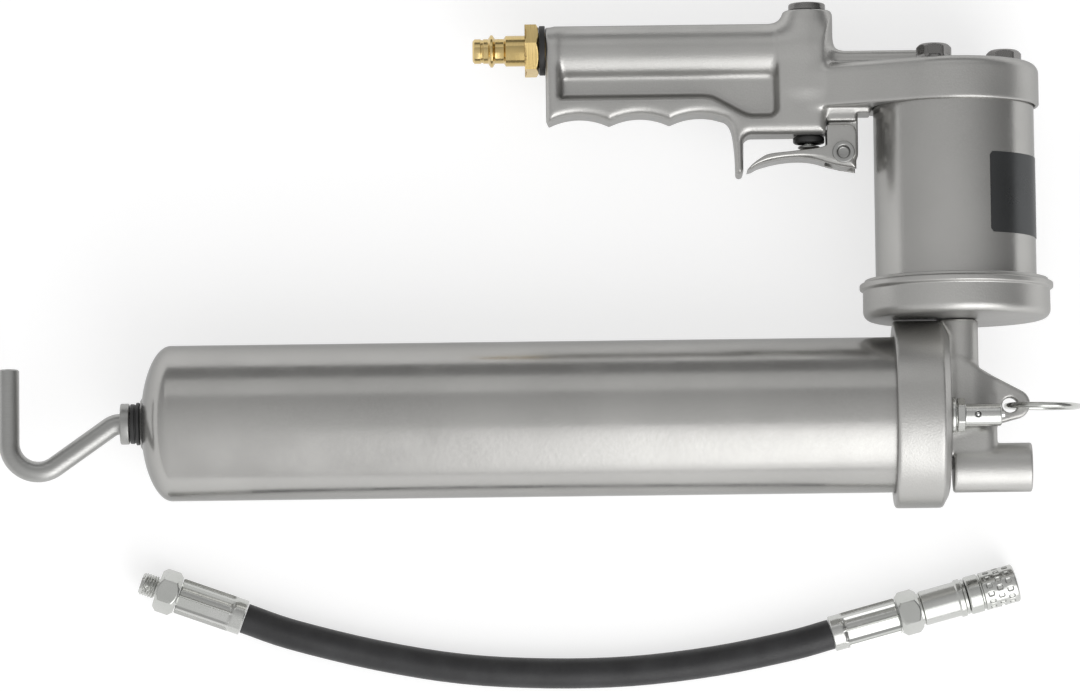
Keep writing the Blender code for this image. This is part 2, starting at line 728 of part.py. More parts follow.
def build_head_fittings():
    """Bleed valve screwed in the head's face, and the ring in the hanging lug."""
    axis_at = Vector((0.0, BLEED_Y, bleed_z))
    flange = BLEED_FLANGE_DIAMETER / 2
    body = BLEED_BODY_DIAMETER / 2
    bore = BLEED_PIN_DIAMETER / 2 + FIT
    thread = BLEED_THREAD_DIAMETER / 2
    start = face_x + FIT
    groove = start + 1.6 * MM
    hex_start = groove + 0.5 * MM
    hex_end = hex_start + 2.9 * MM
    end = start + BLEED_LENGTH
    outline = [
        (bore, disc_back),
        (thread, disc_back),
        (thread, start),
        (flange, start),
        (flange, groove),
        (flange - 1.6 * MM, groove),
        (flange - 1.6 * MM, hex_start),
        (flange - 0.2 * MM, hex_start),
        (flange - 0.2 * MM, hex_end),
        (body, hex_end),
        (body, end - 0.8 * MM),
        (body - 0.8 * MM, end),
        (bore, end),
    ]
    turned("bleed_valve", outline, X, axis_at, 24, steel, gun)
    rod(
        "bleed_pin", BLEED_PIN_DIAMETER / 2, face_x, end + BLEED_PIN_STANDOUT,
        X, axis_at, 12, bright, gun, axis_at,
    )

    # The ring hangs through the lug's hole, its far side dropped by RING_DROOP.
    mean = (RING_DIAMETER - RING_WIRE) / 2
    hole = Vector((LUG_HOLE_X, LUG_HOLE_Y, 0.0))
    reach = X * math.cos(RING_DROOP) - Z * math.sin(RING_DROOP)
    rise = X * math.sin(RING_DROOP) + Z * math.cos(RING_DROOP)
    centre = hole + reach * mean
    count = 24
    points = []
    for i in range(count):
        angle = math.tau * i / count
        points.append(centre + (reach * math.cos(angle) + rise * math.sin(angle)) * mean)
    wire("hang_ring", points, RING_WIRE, steel, gun, 2, True, hole)


def build_air_cylinder():
    """Base cup, tube, piston with plunger, gland and return spring."""
    gland_hole = SPIGOT_DIAMETER / 2 + FIT
    bead_low = base_top - BEAD_WIDTH
    cup_bore = tube_r + FIT
    corner = arc((base_r - BASE_CORNER, base_bottom + BASE_CORNER), BASE_CORNER, -90.0, 0.0, 4)
    cup = [
        (gland_hole, base_bottom),
        *corner,
        (base_r, bead_low),
        (bead_r, bead_low + BEAD_STANDOUT / 2),
        (bead_r, base_top - BEAD_STANDOUT),
        (bead_r - BEAD_STANDOUT / 2, base_top),
        (cup_bore, base_top),
        (cup_bore, base_floor),
        (gland_hole, base_floor),
    ]
    turned("cylinder_base", cup, Y, ORIGIN, FINE_SEGMENTS, paint, gun)
    sleeve("air_cylinder", tube_bore, tube_r, tube_bottom, tube_top, Y, ORIGIN, FINE_SEGMENTS, paint, gun)

    plunger_r = PLUNGER_DIAMETER / 2
    nut_bottom = base_floor + FIT
    nut_top = nut_bottom + GLAND_NUT_LENGTH
    nut = [
        (gland_hole, nut_bottom),
        (GLAND_NUT_DIAMETER / 2, nut_bottom),
        (GLAND_NUT_DIAMETER / 2, nut_top),
        (plunger_r + FIT, nut_top),
        (plunger_r + FIT, spigot_top + FIT),
        (gland_hole, spigot_top + FIT),
    ]
    turned("gland_nut", nut, Y, ORIGIN, SMALL_SEGMENTS, brass, gun)
    sleeve(
        "plunger_packing", plunger_r + FIT, PACKING_DIAMETER / 2, packing_bottom + FIT,
        spigot_top - FIT, Y, ORIGIN, SMALL_SEGMENTS, seal_look, gun,
    )

    shoulder_top = piston_bottom - FIT
    shoulder_bottom = shoulder_top - PLUNGER_SHOULDER_LENGTH
    stud_r = PLUNGER_STUD_DIAMETER / 2
    nut_base = piston_top + FIT
    stud_top = nut_base + PISTON_NUT_HEIGHT + 1.0 * MM
    chamfer = 1.0 * MM
    plunger = [
        (0.0, PLUNGER_TIP_Y),
        (plunger_r - chamfer, PLUNGER_TIP_Y),
        (plunger_r, PLUNGER_TIP_Y + chamfer),
        (plunger_r, shoulder_bottom),
        (PLUNGER_SHOULDER_DIAMETER / 2, shoulder_bottom),
        (PLUNGER_SHOULDER_DIAMETER / 2, shoulder_top),
        (stud_r, shoulder_top),
        (stud_r, stud_top),
        (0.0, stud_top),
    ]
    turned("pump_plunger", plunger, Y, ORIGIN, SMALL_SEGMENTS, bright, gun)

    piston_r = tube_bore - FIT
    groove_r = piston_r - PISTON_SEAL_DEPTH
    middle = (piston_top + piston_bottom) / 2
    groove_low = middle - PISTON_SEAL_WIDTH / 2
    groove_high = middle + PISTON_SEAL_WIDTH / 2
    piston = [
        (stud_r + FIT, piston_bottom),
        (piston_r, piston_bottom),
        (piston_r, groove_low),
        (groove_r, groove_low),
        (groove_r, groove_high),
        (piston_r, groove_high),
        (piston_r, piston_top),
        (stud_r + FIT, piston_top),
    ]
    turned("air_piston", piston, Y, ORIGIN, ROUND_SEGMENTS, steel, gun)
    sleeve(
        "piston_seal", groove_r + FIT, piston_r, groove_low + FIT, groove_high - FIT,
        Y, ORIGIN, ROUND_SEGMENTS, seal_look, gun,
    )
    nut_mesh = hexagon(PISTON_NUT_FLATS, Y, ORIGIN, nut_base, nut_base + PISTON_NUT_HEIGHT)
    piston_nut = add_mesh("piston_nut", nut_mesh, steel, gun)
    boolean(piston_nut, "DIFFERENCE", [
        rod("piston_nut_hole", stud_r + FIT, nut_base - MM, nut_base + PISTON_NUT_HEIGHT + MM,
            Y, ORIGIN, SMALL_SEGMENTS, steel, gun),
    ])
    coil(
        "return_spring", Y, ORIGIN, RETURN_SPRING_RADIUS, base_floor, piston_bottom,
        RETURN_SPRING_TURNS, RETURN_SPRING_WIRE, dark_steel, gun,
    )


def bolt_places():
    places = []
    for i in range(BOLT_COUNT):
        angle = BOLT_FIRST_ANGLE + math.tau * i / BOLT_COUNT
        places.append(Vector((math.cos(angle), 0.0, math.sin(angle))) * (tube_bore - BOLT_INSET))
    return places


def build_cylinder_head():
    """Plate and gasket under the cap, and the bolts that draw the plate up."""
    shank_r = BOLT_SHANK_DIAMETER / 2
    shank_end = cap_top + FIT - BOLT_LENGTH
    plate = sleeve(
        "head_plate", VALVE_PORT / 2, tube_bore - FIT, plate_bottom, plate_top,
        Y, ORIGIN, ROUND_SEGMENTS, steel, gun,
    )
    cuts = []
    for i, place in enumerate(bolt_places(), start=1):
        cuts.append(rod(f"plate_thread_{i}", shank_r + FIT, plate_bottom - MM, plate_top + MM,
                        Y, place, 12, steel, gun))
        head_low = cap_top + FIT
        hex_mesh = hexagon(BOLT_FLATS, Y, place, head_low, head_low + BOLT_HEAD_HEIGHT)
        bolt = add_mesh(f"head_bolt_{i}", hex_mesh, dark_steel, gun)
        boolean(bolt, "UNION", [
            rod(f"bolt_shank_{i}", shank_r, shank_end, head_low + BOLT_HEAD_HEIGHT / 2,
                Y, place, 12, dark_steel, gun),
        ])
    boolean(plate, "DIFFERENCE", cuts)
    sleeve(
        "head_gasket", tube_bore, tube_r, gasket_bottom, gasket_bottom + HEAD_GASKET_THICKNESS,
        Y, ORIGIN, ROUND_SEGMENTS, seal_look, gun,
    )


def grip_outline():
    """Side view of the grip: straight top, three finger grooves, a spur and a flat underside."""
    front = VALVE_X + EAR_BACK
    first_cusp = GRIP_BACK + 1.0 * MM
    half = FINGER_PITCH / 2
    groove_r = (half ** 2 + FINGER_DEPTH ** 2) / (2 * FINGER_DEPTH)
    sweep = math.degrees(math.asin(half / groove_r))
    points = [(front, grip_top), (GRIP_BACK, grip_top), (GRIP_BACK, finger_y + 2.0 * MM)]
    for i in range(FINGER_COUNT):
        centre = (first_cusp + half + FINGER_PITCH * i, finger_y + FINGER_DEPTH - groove_r)
        last = -sweep if i < FINGER_COUNT - 1 else 10.0 - sweep
        groove = arc(centre, groove_r, 90.0 + sweep, 90.0 + last, 6)
        points += groove if i == 0 else groove[1:]
    spur_half = SPUR_WIDTH / 2
    spur_tip = duct_y - SPUR_DROP
    shoulder_x = SPUR_X - spur_half
    fall = (points[-1][0] - shoulder_x, points[-1][1] - underside_y)
    points += [
        (shoulder_x + fall[0] * 0.45, underside_y + fall[1] * 0.80),
        (shoulder_x + fall[0] * 0.15, underside_y + fall[1] * 0.25),
        (shoulder_x, underside_y - 6.0 * MM),
        (SPUR_X - spur_half * 0.5, spur_tip),
        (SPUR_X + spur_half * 0.5, spur_tip),
        (SPUR_X + spur_half, underside_y - 5.0 * MM),
        (SPUR_X + spur_half + 2.5 * MM, underside_y),
        (front, underside_y),
    ]
    return points


def pocket_outline():
    """Side view of the recess in each side of the grip, deeper towards the trigger."""
    back = GRIP_BACK + POCKET_BACK
    top = duct_y - POCKET_TOP_DROP
    low = duct_y - POCKET_LOW_DROP
    deep = duct_y - POCKET_DEEP_DROP
    step = (low - deep) * 1.1
    return [
        (back, top),
        (back, low),
        (POCKET_STEP_X, low),
        (POCKET_STEP_X + step, (low + deep) / 2),
        (POCKET_STEP_X + step * 2, deep),
        (POCKET_FRONT_X - 2.0 * MM, deep),
        (POCKET_FRONT_X, deep + 2.0 * MM),
        (POCKET_FRONT_X, top),
    ]


def build_handle():
    """Casting of the grip, the valve boss, the arm and the cylinder head cap."""
    front = VALVE_X + EAR_BACK
    valve_axis = Vector((VALVE_X, 0.0, 0.0))
    duct_axis = Vector((0.0, duct_y, 0.0))
    handle = side_slab("handle_casting", grip_outline(), grip_half, paint, gun, ORIGIN, GRIP_EDGE)

    pocket = pocket_outline()
    web = POCKET_WEB / 2
    deep = grip_half + MM - web
    pocket_tools = []
    for label, low_z in (("front", web), ("back", -web - deep)):
        points = [Vector((x, y, low_z)) for x, y in pocket]
        pocket_tools.append(add_mesh(f"pocket_{label}", slab_mesh(points, Z * deep), paint, gun))
    boolean(handle, "DIFFERENCE", pocket_tools)

    # The cap, with the arm's flanks running tangent to it.
    tangent = math.degrees(math.asin((cap_r - grip_half) / abs(front)))
    rim = arc((0.0, 0.0), cap_r, 90.0 + tangent, -90.0 - tangent, 32)
    plan = [Vector((x, cap_bottom, z)) for x, z in rim]
    plan += [Vector((front - 4.0 * MM, cap_bottom, -grip_half + MM))]
    plan += [Vector((front - 4.0 * MM, cap_bottom, grip_half - MM))]
    cap_mesh = slab_mesh(plan, Y * CAP_HEIGHT)
    for level, size in ((cap_top, CAP_EDGE), (cap_bottom, CAP_RIM)):
        edges = [e for e in cap_mesh.edges if all(abs(v.co.y - level) < MERGE for v in e.verts)]
        bmesh.ops.bevel(cap_mesh, geom=edges, offset=size, segments=2, profile=0.5, affect="EDGES")
    cap = add_mesh("handle_cap", cap_mesh, paint, gun)
    boolean(cap, "DIFFERENCE", [
        rod("tube_recess", tube_r + FIT, cap_bottom - MM, recess_top, Y, ORIGIN, FINE_SEGMENTS, paint, gun),
    ])

    rib_half = RIB_WIDTH / 2
    fillet_left = arc(
        (VALVE_X - BOSS_RADIUS - BOSS_FILLET, grip_top + BOSS_FILLET), BOSS_FILLET, -90.0, 0.0, 4,
    )
    fillet_right = arc(
        (VALVE_X + BOSS_RADIUS + BOSS_FILLET, rib_top + BOSS_FILLET), BOSS_FILLET, 180.0, 270.0, 4,
    )
    rib = [
        (VALVE_X - BOSS_RADIUS - BOSS_FILLET, port_y),
        *fillet_left,
        *fillet_right,
        (RIB_END - 4.0 * MM, rib_top),
        (RIB_END, rib_top - 2.0 * MM),
        (RIB_END + 5.0 * MM, cap_top - CAP_EDGE),
        (RIB_END, port_y),
    ]
    lug_low = arc((PIVOT_X, pivot_y), LUG_RADIUS, 180.0, 360.0, 10)
    lug = [*lug_low, (PIVOT_X + LUG_RADIUS, port_y), (PIVOT_X - LUG_RADIUS, port_y)]
    boolean(handle, "UNION", [
        rod("handle_duct", DUCT_RADIUS, GRIP_BACK + POCKET_BACK / 2, VALVE_X, X, duct_axis, 24,
            paint, gun),
        rod("handle_boss", BOSS_RADIUS, port_y, boss_top, Y, valve_axis, ROUND_SEGMENTS, paint, gun),
        cap,
        side_slab("handle_rib", rib, rib_half, paint, gun),
        block("handle_arm", (front - 6.0 * MM, arm_underside, -grip_half + 2.0 * MM),
              (-tube_r - ARM_SETBACK, cap_top - CAP_EDGE, grip_half - 2.0 * MM), paint, gun),
        side_slab("handle_lug", lug, LUG_HALF_WIDTH, paint, gun),
    ])

    bush_r = VALVE_BUSH_DIAMETER / 2 + FIT
    bush_top = underside_y - VALVE_BUSH_STANDOUT + VALVE_BUSH_LENGTH + FIT
    valve = [
        (0.0, underside_y - 10.0 * MM),
        (bush_r, underside_y - 10.0 * MM),
        (bush_r, bush_top),
        (VALVE_THROAT / 2, bush_top),
        (VALVE_THROAT / 2, seat_y),
        (VALVE_BORE / 2, seat_y),
        (VALVE_BORE / 2, boss_top + 10.0 * MM),
        (0.0, boss_top + 10.0 * MM),
    ]
    thread_r = PLUG_THREAD_DIAMETER / 2 + FIT
    thread_end = GRIP_BACK + PLUG_THREAD_LENGTH + FIT
    inlet = [
        (0.0, GRIP_BACK - MM),
        (thread_r, GRIP_BACK - MM),
        (thread_r, thread_end),
        (DUCT_BORE / 2, thread_end),
        (DUCT_BORE / 2, VALVE_X),
        (0.0, VALVE_X),
    ]
    port_axis = Vector((0.0, port_y, 0.0))
    pin_hole = PIN_DIAMETER / 2 + FIT
    cuts = [
        turned("valve_bore", valve, Y, valve_axis, SMALL_SEGMENTS, paint, gun),
        turned("inlet_bore", inlet, X, duct_axis, SMALL_SEGMENTS, paint, gun),
        rod("air_port", VALVE_PORT / 2, VALVE_X, VALVE_PORT / 4, X, port_axis, 12, paint, gun),
        rod("air_drop", VALVE_PORT / 2, cap_bottom - MM, port_y, Y, ORIGIN, 12, paint, gun),
        rod("pin_hole", pin_hole, -grip_half, grip_half, Z, pivot, SMALL_SEGMENTS, paint, gun),
    ]
    for i, place in enumerate(bolt_places(), start=1):
        cuts.append(rod(f"bolt_hole_{i}", BOLT_SHANK_DIAMETER / 2 + FIT, cap_bottom, cap_top + MM,
                        Y, place, 12, paint, gun))
    boolean(handle, "DIFFERENCE", cuts)


def build_valve():
    """Poppet on its stem, bush, seals, spring and screwed cap."""
    axis_at = Vector((VALVE_X, 0.0, 0.0))
    stem_r = STEM_DIAMETER / 2
    bush_low = underside_y - VALVE_BUSH_STANDOUT
    bush_top = bush_low + VALVE_BUSH_LENGTH
    stem_low = lever_top(VALVE_X) + FIT
    poppet_low = seat_y + FIT
    poppet_top = poppet_low + POPPET_THICKNESS
    dome = 0.8 * MM
    stem = [
        (0.0, stem_low),
        (stem_r - dome, stem_low + dome / 2),
        (stem_r, stem_low + dome * 1.5),
        (stem_r, poppet_low),
        (POPPET_DIAMETER / 2, poppet_low),
        (POPPET_DIAMETER / 2, poppet_top),
        (0.0, poppet_top),
    ]
    stem_at = Vector((VALVE_X, stem_low, 0.0))
    turned("valve_stem", stem, Y, axis_at, SMALL_SEGMENTS, steel, gun, stem_at)
    sleeve(
        "valve_bush", stem_r + FIT, VALVE_BUSH_DIAMETER / 2, bush_low, bush_top,
        Y, axis_at, SMALL_SEGMENTS, dark_steel, gun,
    )
    seal_low = bush_top + FIT
    sleeve(
        "stem_seal", stem_r + FIT, VALVE_THROAT / 2 - FIT, seal_low + FIT,
        seal_low + FIT + STEM_SEAL_LENGTH, Y, axis_at, SMALL_SEGMENTS, seal_look, gun,
    )
    plug_r = VALVE_BORE / 2 - FIT
    plug_low = boss_top - VALVE_CAP_DEPTH
    cap_low = boss_top + FIT
    cap_high = cap_low + VALVE_CAP_HEIGHT
    groove_r = plug_r - 1.4 * MM
    groove_low = boss_top - VALVE_CAP_DEPTH / 2
    groove_high = groove_low + VALVE_CAP_SEAL_WIDTH + 2 * FIT
    flange_r = VALVE_CAP_FLANGE / 2
    edge = 0.8 * MM
    cap = [
        (0.0, plug_low),
        (plug_r, plug_low),
        (plug_r, groove_low),
        (groove_r, groove_low),
        (groove_r, groove_high),
        (plug_r, groove_high),
        (plug_r, cap_low),
        (flange_r, cap_low),
        (flange_r, cap_high - edge),
        (flange_r - edge, cap_high),
        (0.0, cap_high),
    ]
    turned("valve_cap", cap, Y, axis_at, SMALL_SEGMENTS, steel, gun)
    sleeve(
        "valve_cap_seal", groove_r + FIT, plug_r, groove_low + FIT, groove_high - FIT,
        Y, axis_at, SMALL_SEGMENTS, seal_look, gun,
    )
    coil(
        "valve_spring", Y, axis_at, VALVE_SPRING_RADIUS, poppet_top, plug_low,
        VALVE_SPRING_TURNS, VALVE_SPRING_WIRE, dark_steel, gun,
    )


def lever_profile():
    """Top edge of the trigger lever from its tip to the fork, as (x, y) points."""
    tip = PIVOT_X - TRIGGER_REACH
    fork = PIVOT_X - EAR_BACK
    return [
        (tip, pivot_y - 5.6 * MM),
        (tip + TRIGGER_REACH * 0.06, pivot_y - 3.6 * MM),
        (tip + TRIGGER_REACH * 0.13, pivot_y - 1.9 * MM),
        (tip + TRIGGER_REACH * 0.24, pivot_y - 0.3 * MM),
        (tip + TRIGGER_REACH * 0.48, pivot_y + 0.8 * MM),
        (fork, pivot_y + 2.6 * MM),
    ]


def lever_top(x):
    """Height of the lever's top edge at a station along it."""
    edge = lever_profile()
    for (x0, y0), (x1, y1) in zip(edge, edge[1:]):
        if x0 <= x <= x1:
            return y0 + (y1 - y0) * (x - x0) / (x1 - x0)
    return edge[-1][1]


def build_trigger():
    """Lever with a forked end that straddles the handle's lug on a hollow pin."""
    tip = PIVOT_X - TRIGGER_REACH
    back = PIVOT_X - EAR_BACK
    front = PIVOT_X + EAR_FRONT
    ear_top = pivot_y + EAR_TOP
    ear_corner = arc((front - 3.0 * MM, ear_top - 3.0 * MM), 3.0 * MM, 0.0, 90.0, 3)
    outline = [
        *lever_profile(),
        (back, ear_top),
        *reversed(ear_corner),
        (front, pivot_y - 5.8 * MM),
        (PIVOT_X - LUG_RADIUS, pivot_y - 4.4 * MM),
        (tip + TRIGGER_REACH * 0.55, pivot_y - 2.1 * MM),
        (tip + TRIGGER_REACH * 0.34, pivot_y - 2.4 * MM),
        (tip + TRIGGER_REACH * 0.13, pivot_y - 4.2 * MM),
        (tip + 1.4 * MM, pivot_y - 5.7 * MM),
    ]
    lever = side_slab("trigger", outline, fork_outer, paint, gun, pivot)
    fork_low = (PIVOT_X - LUG_RADIUS - 4 * FIT, pivot_y - 20.0 * MM, -fork_inner)
    fork_high = (front + MM, ear_top + MM, fork_inner)
    boolean(lever, "DIFFERENCE", [
        block("fork_slot", fork_low, fork_high, paint, gun),
        rod("trigger_hole", PIN_DIAMETER / 2 + FIT, -fork_outer - MM, fork_outer + MM, Z, pivot,
            SMALL_SEGMENTS, paint, gun),
    ])
    head_in = fork_outer + FIT
    head_out = head_in + PIN_HEAD_THICKNESS
    body = PIN_DIAMETER / 2
    head = PIN_HEAD_DIAMETER / 2
    bore = PIN_BORE / 2
    pin = [
        (bore, -head_out),
        (head, -head_out),
        (head, -head_in),
        (body, -head_in),
        (body, head_in),
        (head, head_in),
        (head, head_out),
        (bore, head_out),
    ]
    turned("trigger_pin", pin, Z, pivot, SMALL_SEGMENTS, steel, gun, pivot)


def build_inlet():
    """Brass quick-connect plug screwed in the back of the grip on a sealing washer."""
    axis_at = Vector((0.0, duct_y, 0.0))
    washer_front = GRIP_BACK - FIT
    washer_back = washer_front - WASHER_THICKNESS
    hex_front = washer_back - FIT
    hex_back = hex_front - PLUG_HEX_LENGTH
    body_back = hex_back - PLUG_BODY_LENGTH
    neck_back = body_back - PLUG_NECK_LENGTH
    ridge_back = neck_back - PLUG_RIDGE_LENGTH
    tip_back = ridge_back - PLUG_TIP_LENGTH
    thread_end = GRIP_BACK + PLUG_THREAD_LENGTH
    thread = PLUG_THREAD_DIAMETER / 2
    body = PLUG_BODY_DIAMETER / 2
    neck = PLUG_NECK_DIAMETER / 2
    ridge = PLUG_RIDGE_DIAMETER / 2
    bore = PLUG_BORE / 2
    edge = 0.7 * MM
    inside_hex = (hex_front + hex_back) / 2
    outline = [
        (bore, thread_end),
        (thread, thread_end),
        (thread, inside_hex),
        (body, inside_hex),
        (body, body_back + edge),
        (neck, body_back),
        (neck, neck_back + edge),
        (ridge, neck_back),
        (ridge, ridge_back + edge),
        (neck, ridge_back),
        (neck, tip_back + edge),
        (neck - edge, tip_back),
        (bore, tip_back),
    ]
    plug = turned("inlet_plug", outline, X, axis_at, 24, brass, gun)
    nut = add_mesh("inlet_hex", hexagon(PLUG_FLATS, X, axis_at, hex_back, hex_front), brass, gun)
    boolean(nut, "DIFFERENCE", [
        rod("inlet_hex_bore", bore + edge, hex_back - MM, hex_front + MM, X, axis_at, 24, brass, gun),
    ])
    boolean(plug, "UNION", [nut])
    sleeve(
        "inlet_washer", thread + FIT, WASHER_DIAMETER / 2, washer_back, washer_front,
        X, axis_at, 24, rubber, gun,
    )


def build_hose(ground):
    """Rubber hose on the ground, a threaded stem on one end and a jaw coupler on the other."""
    height = STEM_HEX_FLATS / 2
    hose_r = HOSE_DIAMETER / 2
    last = len(HOSE_ROUTE) - 1
    route = []
    for i, (x, y) in enumerate(HOSE_ROUTE):
        from_end = min(i, last - i)
        route.append(Vector((x, y, height if from_end < 2 else hose_r)))
    points = smooth_route(route, HOSE_STEPS)
    wire("hose", points, HOSE_DIAMETER, rubber, ground, 4)

    back = (route[0] - route[1]).normalized()
    ahead = (route[-1] - route[-2]).normalized()
    start = points[0]
    end = points[-1]
    bore = STEM_BORE / 2
    ferrule = FERRULE_DIAMETER / 2
    waist = ferrule - 0.7 * MM

    def crimped(length):
        return [
            (0.0, FIT),
            (ferrule, FIT),
            (ferrule, length * 0.18),
            (waist, length * 0.28),
            (waist, length * 0.72),
            (ferrule, length * 0.82),
            (ferrule, length),
            (0.0, length),
        ]

    turned("stem_ferrule", crimped(STEM_FERRULE_LENGTH), back, start, 24, steel, ground)
    hex_start = STEM_FERRULE_LENGTH + FIT
    hex_end = hex_start + STEM_HEX_LENGTH
    thread_end = hex_end + STEM_THREAD_LENGTH
    stem_mesh = hexagon(STEM_HEX_FLATS, back, start, hex_start, hex_end)
    stem = add_mesh("hose_stem", stem_mesh, steel, ground)
    boolean(stem, "UNION", [
        rod("stem_thread", STEM_THREAD_DIAMETER / 2, hex_end - MM, thread_end, back, start, SMALL_SEGMENTS,
            steel, ground),
    ])
    boolean(stem, "DIFFERENCE", [
        rod("stem_bore", bore, hex_start - MM, thread_end + MM, back, start, 12, steel, ground),
    ])

    turned("coupler_ferrule", crimped(COUPLER_FERRULE_LENGTH), ahead, end, 24, steel, ground)
    hex_start = COUPLER_FERRULE_LENGTH + FIT
    hex_end = hex_start + COUPLER_HEX_LENGTH
    body_end = hex_end + COUPLER_BODY_LENGTH
    coupler_r = COUPLER_DIAMETER / 2
    chamber = COUPLER_BORE / 2
    chamber_start = body_end - 5.0 * MM
    body_mesh = hexagon(STEM_HEX_FLATS, ahead, end, hex_start, hex_end)
    body = add_mesh("coupler_body", body_mesh, steel, ground)
    boolean(body, "UNION", [
        rod("coupler_rear", coupler_r, hex_end - MM, body_end, ahead, end, 24, steel, ground),
    ])
    boolean(body, "DIFFERENCE", [
        rod("coupler_passage", bore, hex_start - MM, body_end, ahead, end, 12, steel, ground),
        rod("coupler_chamber", chamber, chamber_start, body_end + MM, ahead, end, 24, steel, ground),
    ])
    sleeve_start = body_end + FIT
    sleeve_end = sleeve_start + COUPLER_SLEEVE_LENGTH
    mouth = COUPLER_MOUTH / 2
    edge = 1.0 * MM
    shell = [
        (chamber, sleeve_start),
        (coupler_r, sleeve_start),
        (coupler_r, sleeve_end - edge),
        (coupler_r - edge, sleeve_end),
        (mouth, sleeve_end),
        (mouth, sleeve_end - COUPLER_LIP),
        (chamber, sleeve_end - COUPLER_LIP),
    ]
    turned("coupler_sleeve", shell, ahead, end, 24, steel, ground)

    jaw_end = sleeve_end - COUPLER_LIP - FIT
    jaw_start = jaw_end - JAW_LENGTH
    sleeve_side = ahead.cross(Z).normalized()
    jaw_r = chamber - FIT
    for i in range(JAW_COUNT):
        name = f"coupler_jaw_{i + 1}"
        middle = math.tau * (i + 0.5) / JAW_COUNT
        spread = math.pi / JAW_COUNT
        slit_outer = math.asin(JAW_SLIT / 2 / jaw_r)
        slit_inner = math.asin(JAW_SLIT / JAW_BORE)
        outer = [middle - spread + slit_outer, middle, middle + spread - slit_outer]
        inner = [middle + spread - slit_inner, middle, middle - spread + slit_inner]
        outer.insert(1, (outer[0] + outer[1]) / 2)
        outer.insert(3, (outer[2] + outer[3]) / 2)
        ring = [(jaw_r, angle) for angle in outer] + [(JAW_BORE / 2, angle) for angle in inner]
        section = [
            end + ahead * jaw_start
            + (sleeve_side * math.cos(angle) + Z * math.sin(angle)) * radius
            for radius, angle in ring
        ]
        add_mesh(name, slab_mesh(section, ahead * JAW_LENGTH), bright, ground)
    seal_start = chamber_start + FIT
    seal_end = seal_start + COUPLER_SEAL_LENGTH
    sleeve("coupler_seal", bore, jaw_r, seal_start, seal_end, ahead, end, SMALL_SEGMENTS, seal_look, ground)
    coil(
        "coupler_spring", ahead, end, (jaw_r + JAW_BORE / 2) / 2, seal_end, jaw_start,
        COUPLER_SPRING_TURNS, COUPLER_SPRING_WIRE, dark_steel, ground,
    )


def lay_down():
    """Tip the gun onto the cylinder base, the cylinder head and the barrel's back end."""
    bead_y = base_top - BEAD_WIDTH / 2
    cap_y = cap_top - CAP_EDGE
    slope_y = (bead_r - cap_r) / (cap_y - bead_y)
    level = -bead_r - slope_y * bead_y
    slope_x = (level + barrel_r) / -dome_start
    up = Vector((-slope_x, -slope_y, 1.0)).normalized()
    right = (X - up * X.dot(up)).normalized()
    forward = up.cross(right)
    gun.matrix_world = Matrix((right, forward, up)).to_4x4()


def box_of(pieces):
    """Lowest and highest world corner of the pieces as they are shaped by their modifiers."""
    bpy.context.view_layer.update()
    state = bpy.context.evaluated_depsgraph_get()
    low = Vector((math.inf, math.inf, math.inf))
    high = -low
    for piece in pieces:
        shaped = piece.evaluated_get(state)
        mesh = shaped.to_mesh()
        for vert in mesh.vertices:
            place = piece.matrix_world @ vert.co
            low = Vector(map(min, low, place))
            high = Vector(map(max, high, place))
        shaped.to_mesh_clear()
    return low, high


build_barrel()
build_follower()
build_grease_head()
build_head_fittings()
build_air_cylinder()
build_cylinder_head()
build_handle()
build_valve()
build_trigger()
build_inlet()

# The origin ends up under the middle of the gun, on the ground.
lay_down()
low, high = box_of([piece for piece in gun.children if not piece.hide_render])
gun.location -= Vector(((low.x + high.x) / 2, (low.y + high.y) / 2, low.z))
hose_ground = add_empty("hose_ground", Vector((gun.location.x, gun.location.y, 0.0)))
build_hose(hose_ground)
bpy.context.view_layer.update()
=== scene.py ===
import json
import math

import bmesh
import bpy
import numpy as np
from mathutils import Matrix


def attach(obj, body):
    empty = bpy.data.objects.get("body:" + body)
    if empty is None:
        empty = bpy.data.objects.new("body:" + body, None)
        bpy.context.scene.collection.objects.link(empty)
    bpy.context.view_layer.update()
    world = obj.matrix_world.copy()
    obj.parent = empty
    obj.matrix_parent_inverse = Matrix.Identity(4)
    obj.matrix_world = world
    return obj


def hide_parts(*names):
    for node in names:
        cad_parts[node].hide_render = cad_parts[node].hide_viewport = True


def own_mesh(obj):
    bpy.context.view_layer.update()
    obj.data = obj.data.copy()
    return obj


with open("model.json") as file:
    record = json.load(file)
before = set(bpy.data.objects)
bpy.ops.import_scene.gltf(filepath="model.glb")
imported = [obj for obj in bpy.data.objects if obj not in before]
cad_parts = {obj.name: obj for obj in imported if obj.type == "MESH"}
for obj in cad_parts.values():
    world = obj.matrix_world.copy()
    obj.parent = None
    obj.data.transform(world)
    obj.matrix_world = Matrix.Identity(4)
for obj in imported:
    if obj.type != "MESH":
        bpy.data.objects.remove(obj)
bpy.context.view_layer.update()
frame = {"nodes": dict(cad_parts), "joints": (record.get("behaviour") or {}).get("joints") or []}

# Looks of an air-operated grease gun and of the delivery hose that lies beside it.
#
# Pieces are drawn in millimetres in the gun's own frame: X along the grease barrel, Y along the air
# cylinder towards the handle, Z out of the side that faces the camera. The hose is drawn on the
# floor, and its fittings in frames at its two ends. Castings are sampled as distance fields, so that
# their webs, bosses and pockets run into each other with fillets. Springs keep the shape of their
# CAD nodes, and the rest is turned or swept.

import openvdb
from mathutils import Matrix, Vector

MM = 0.001

# The photograph's frame, its scale at the gun's middle plane, and where it sees the gun's origin.
PHOTO_SIZE = (1080, 692)
MM_PER_PIXEL = 0.36
ORIGIN_PIXEL = (958.6, 414.0)
VIEW_TILT = math.radians(5.5)
VIEW_ROLL = math.radians(0.7)
CAMERA_DISTANCE = 2600.0
SENSOR_WIDTH = 36.0
CLIP_END = 20.0

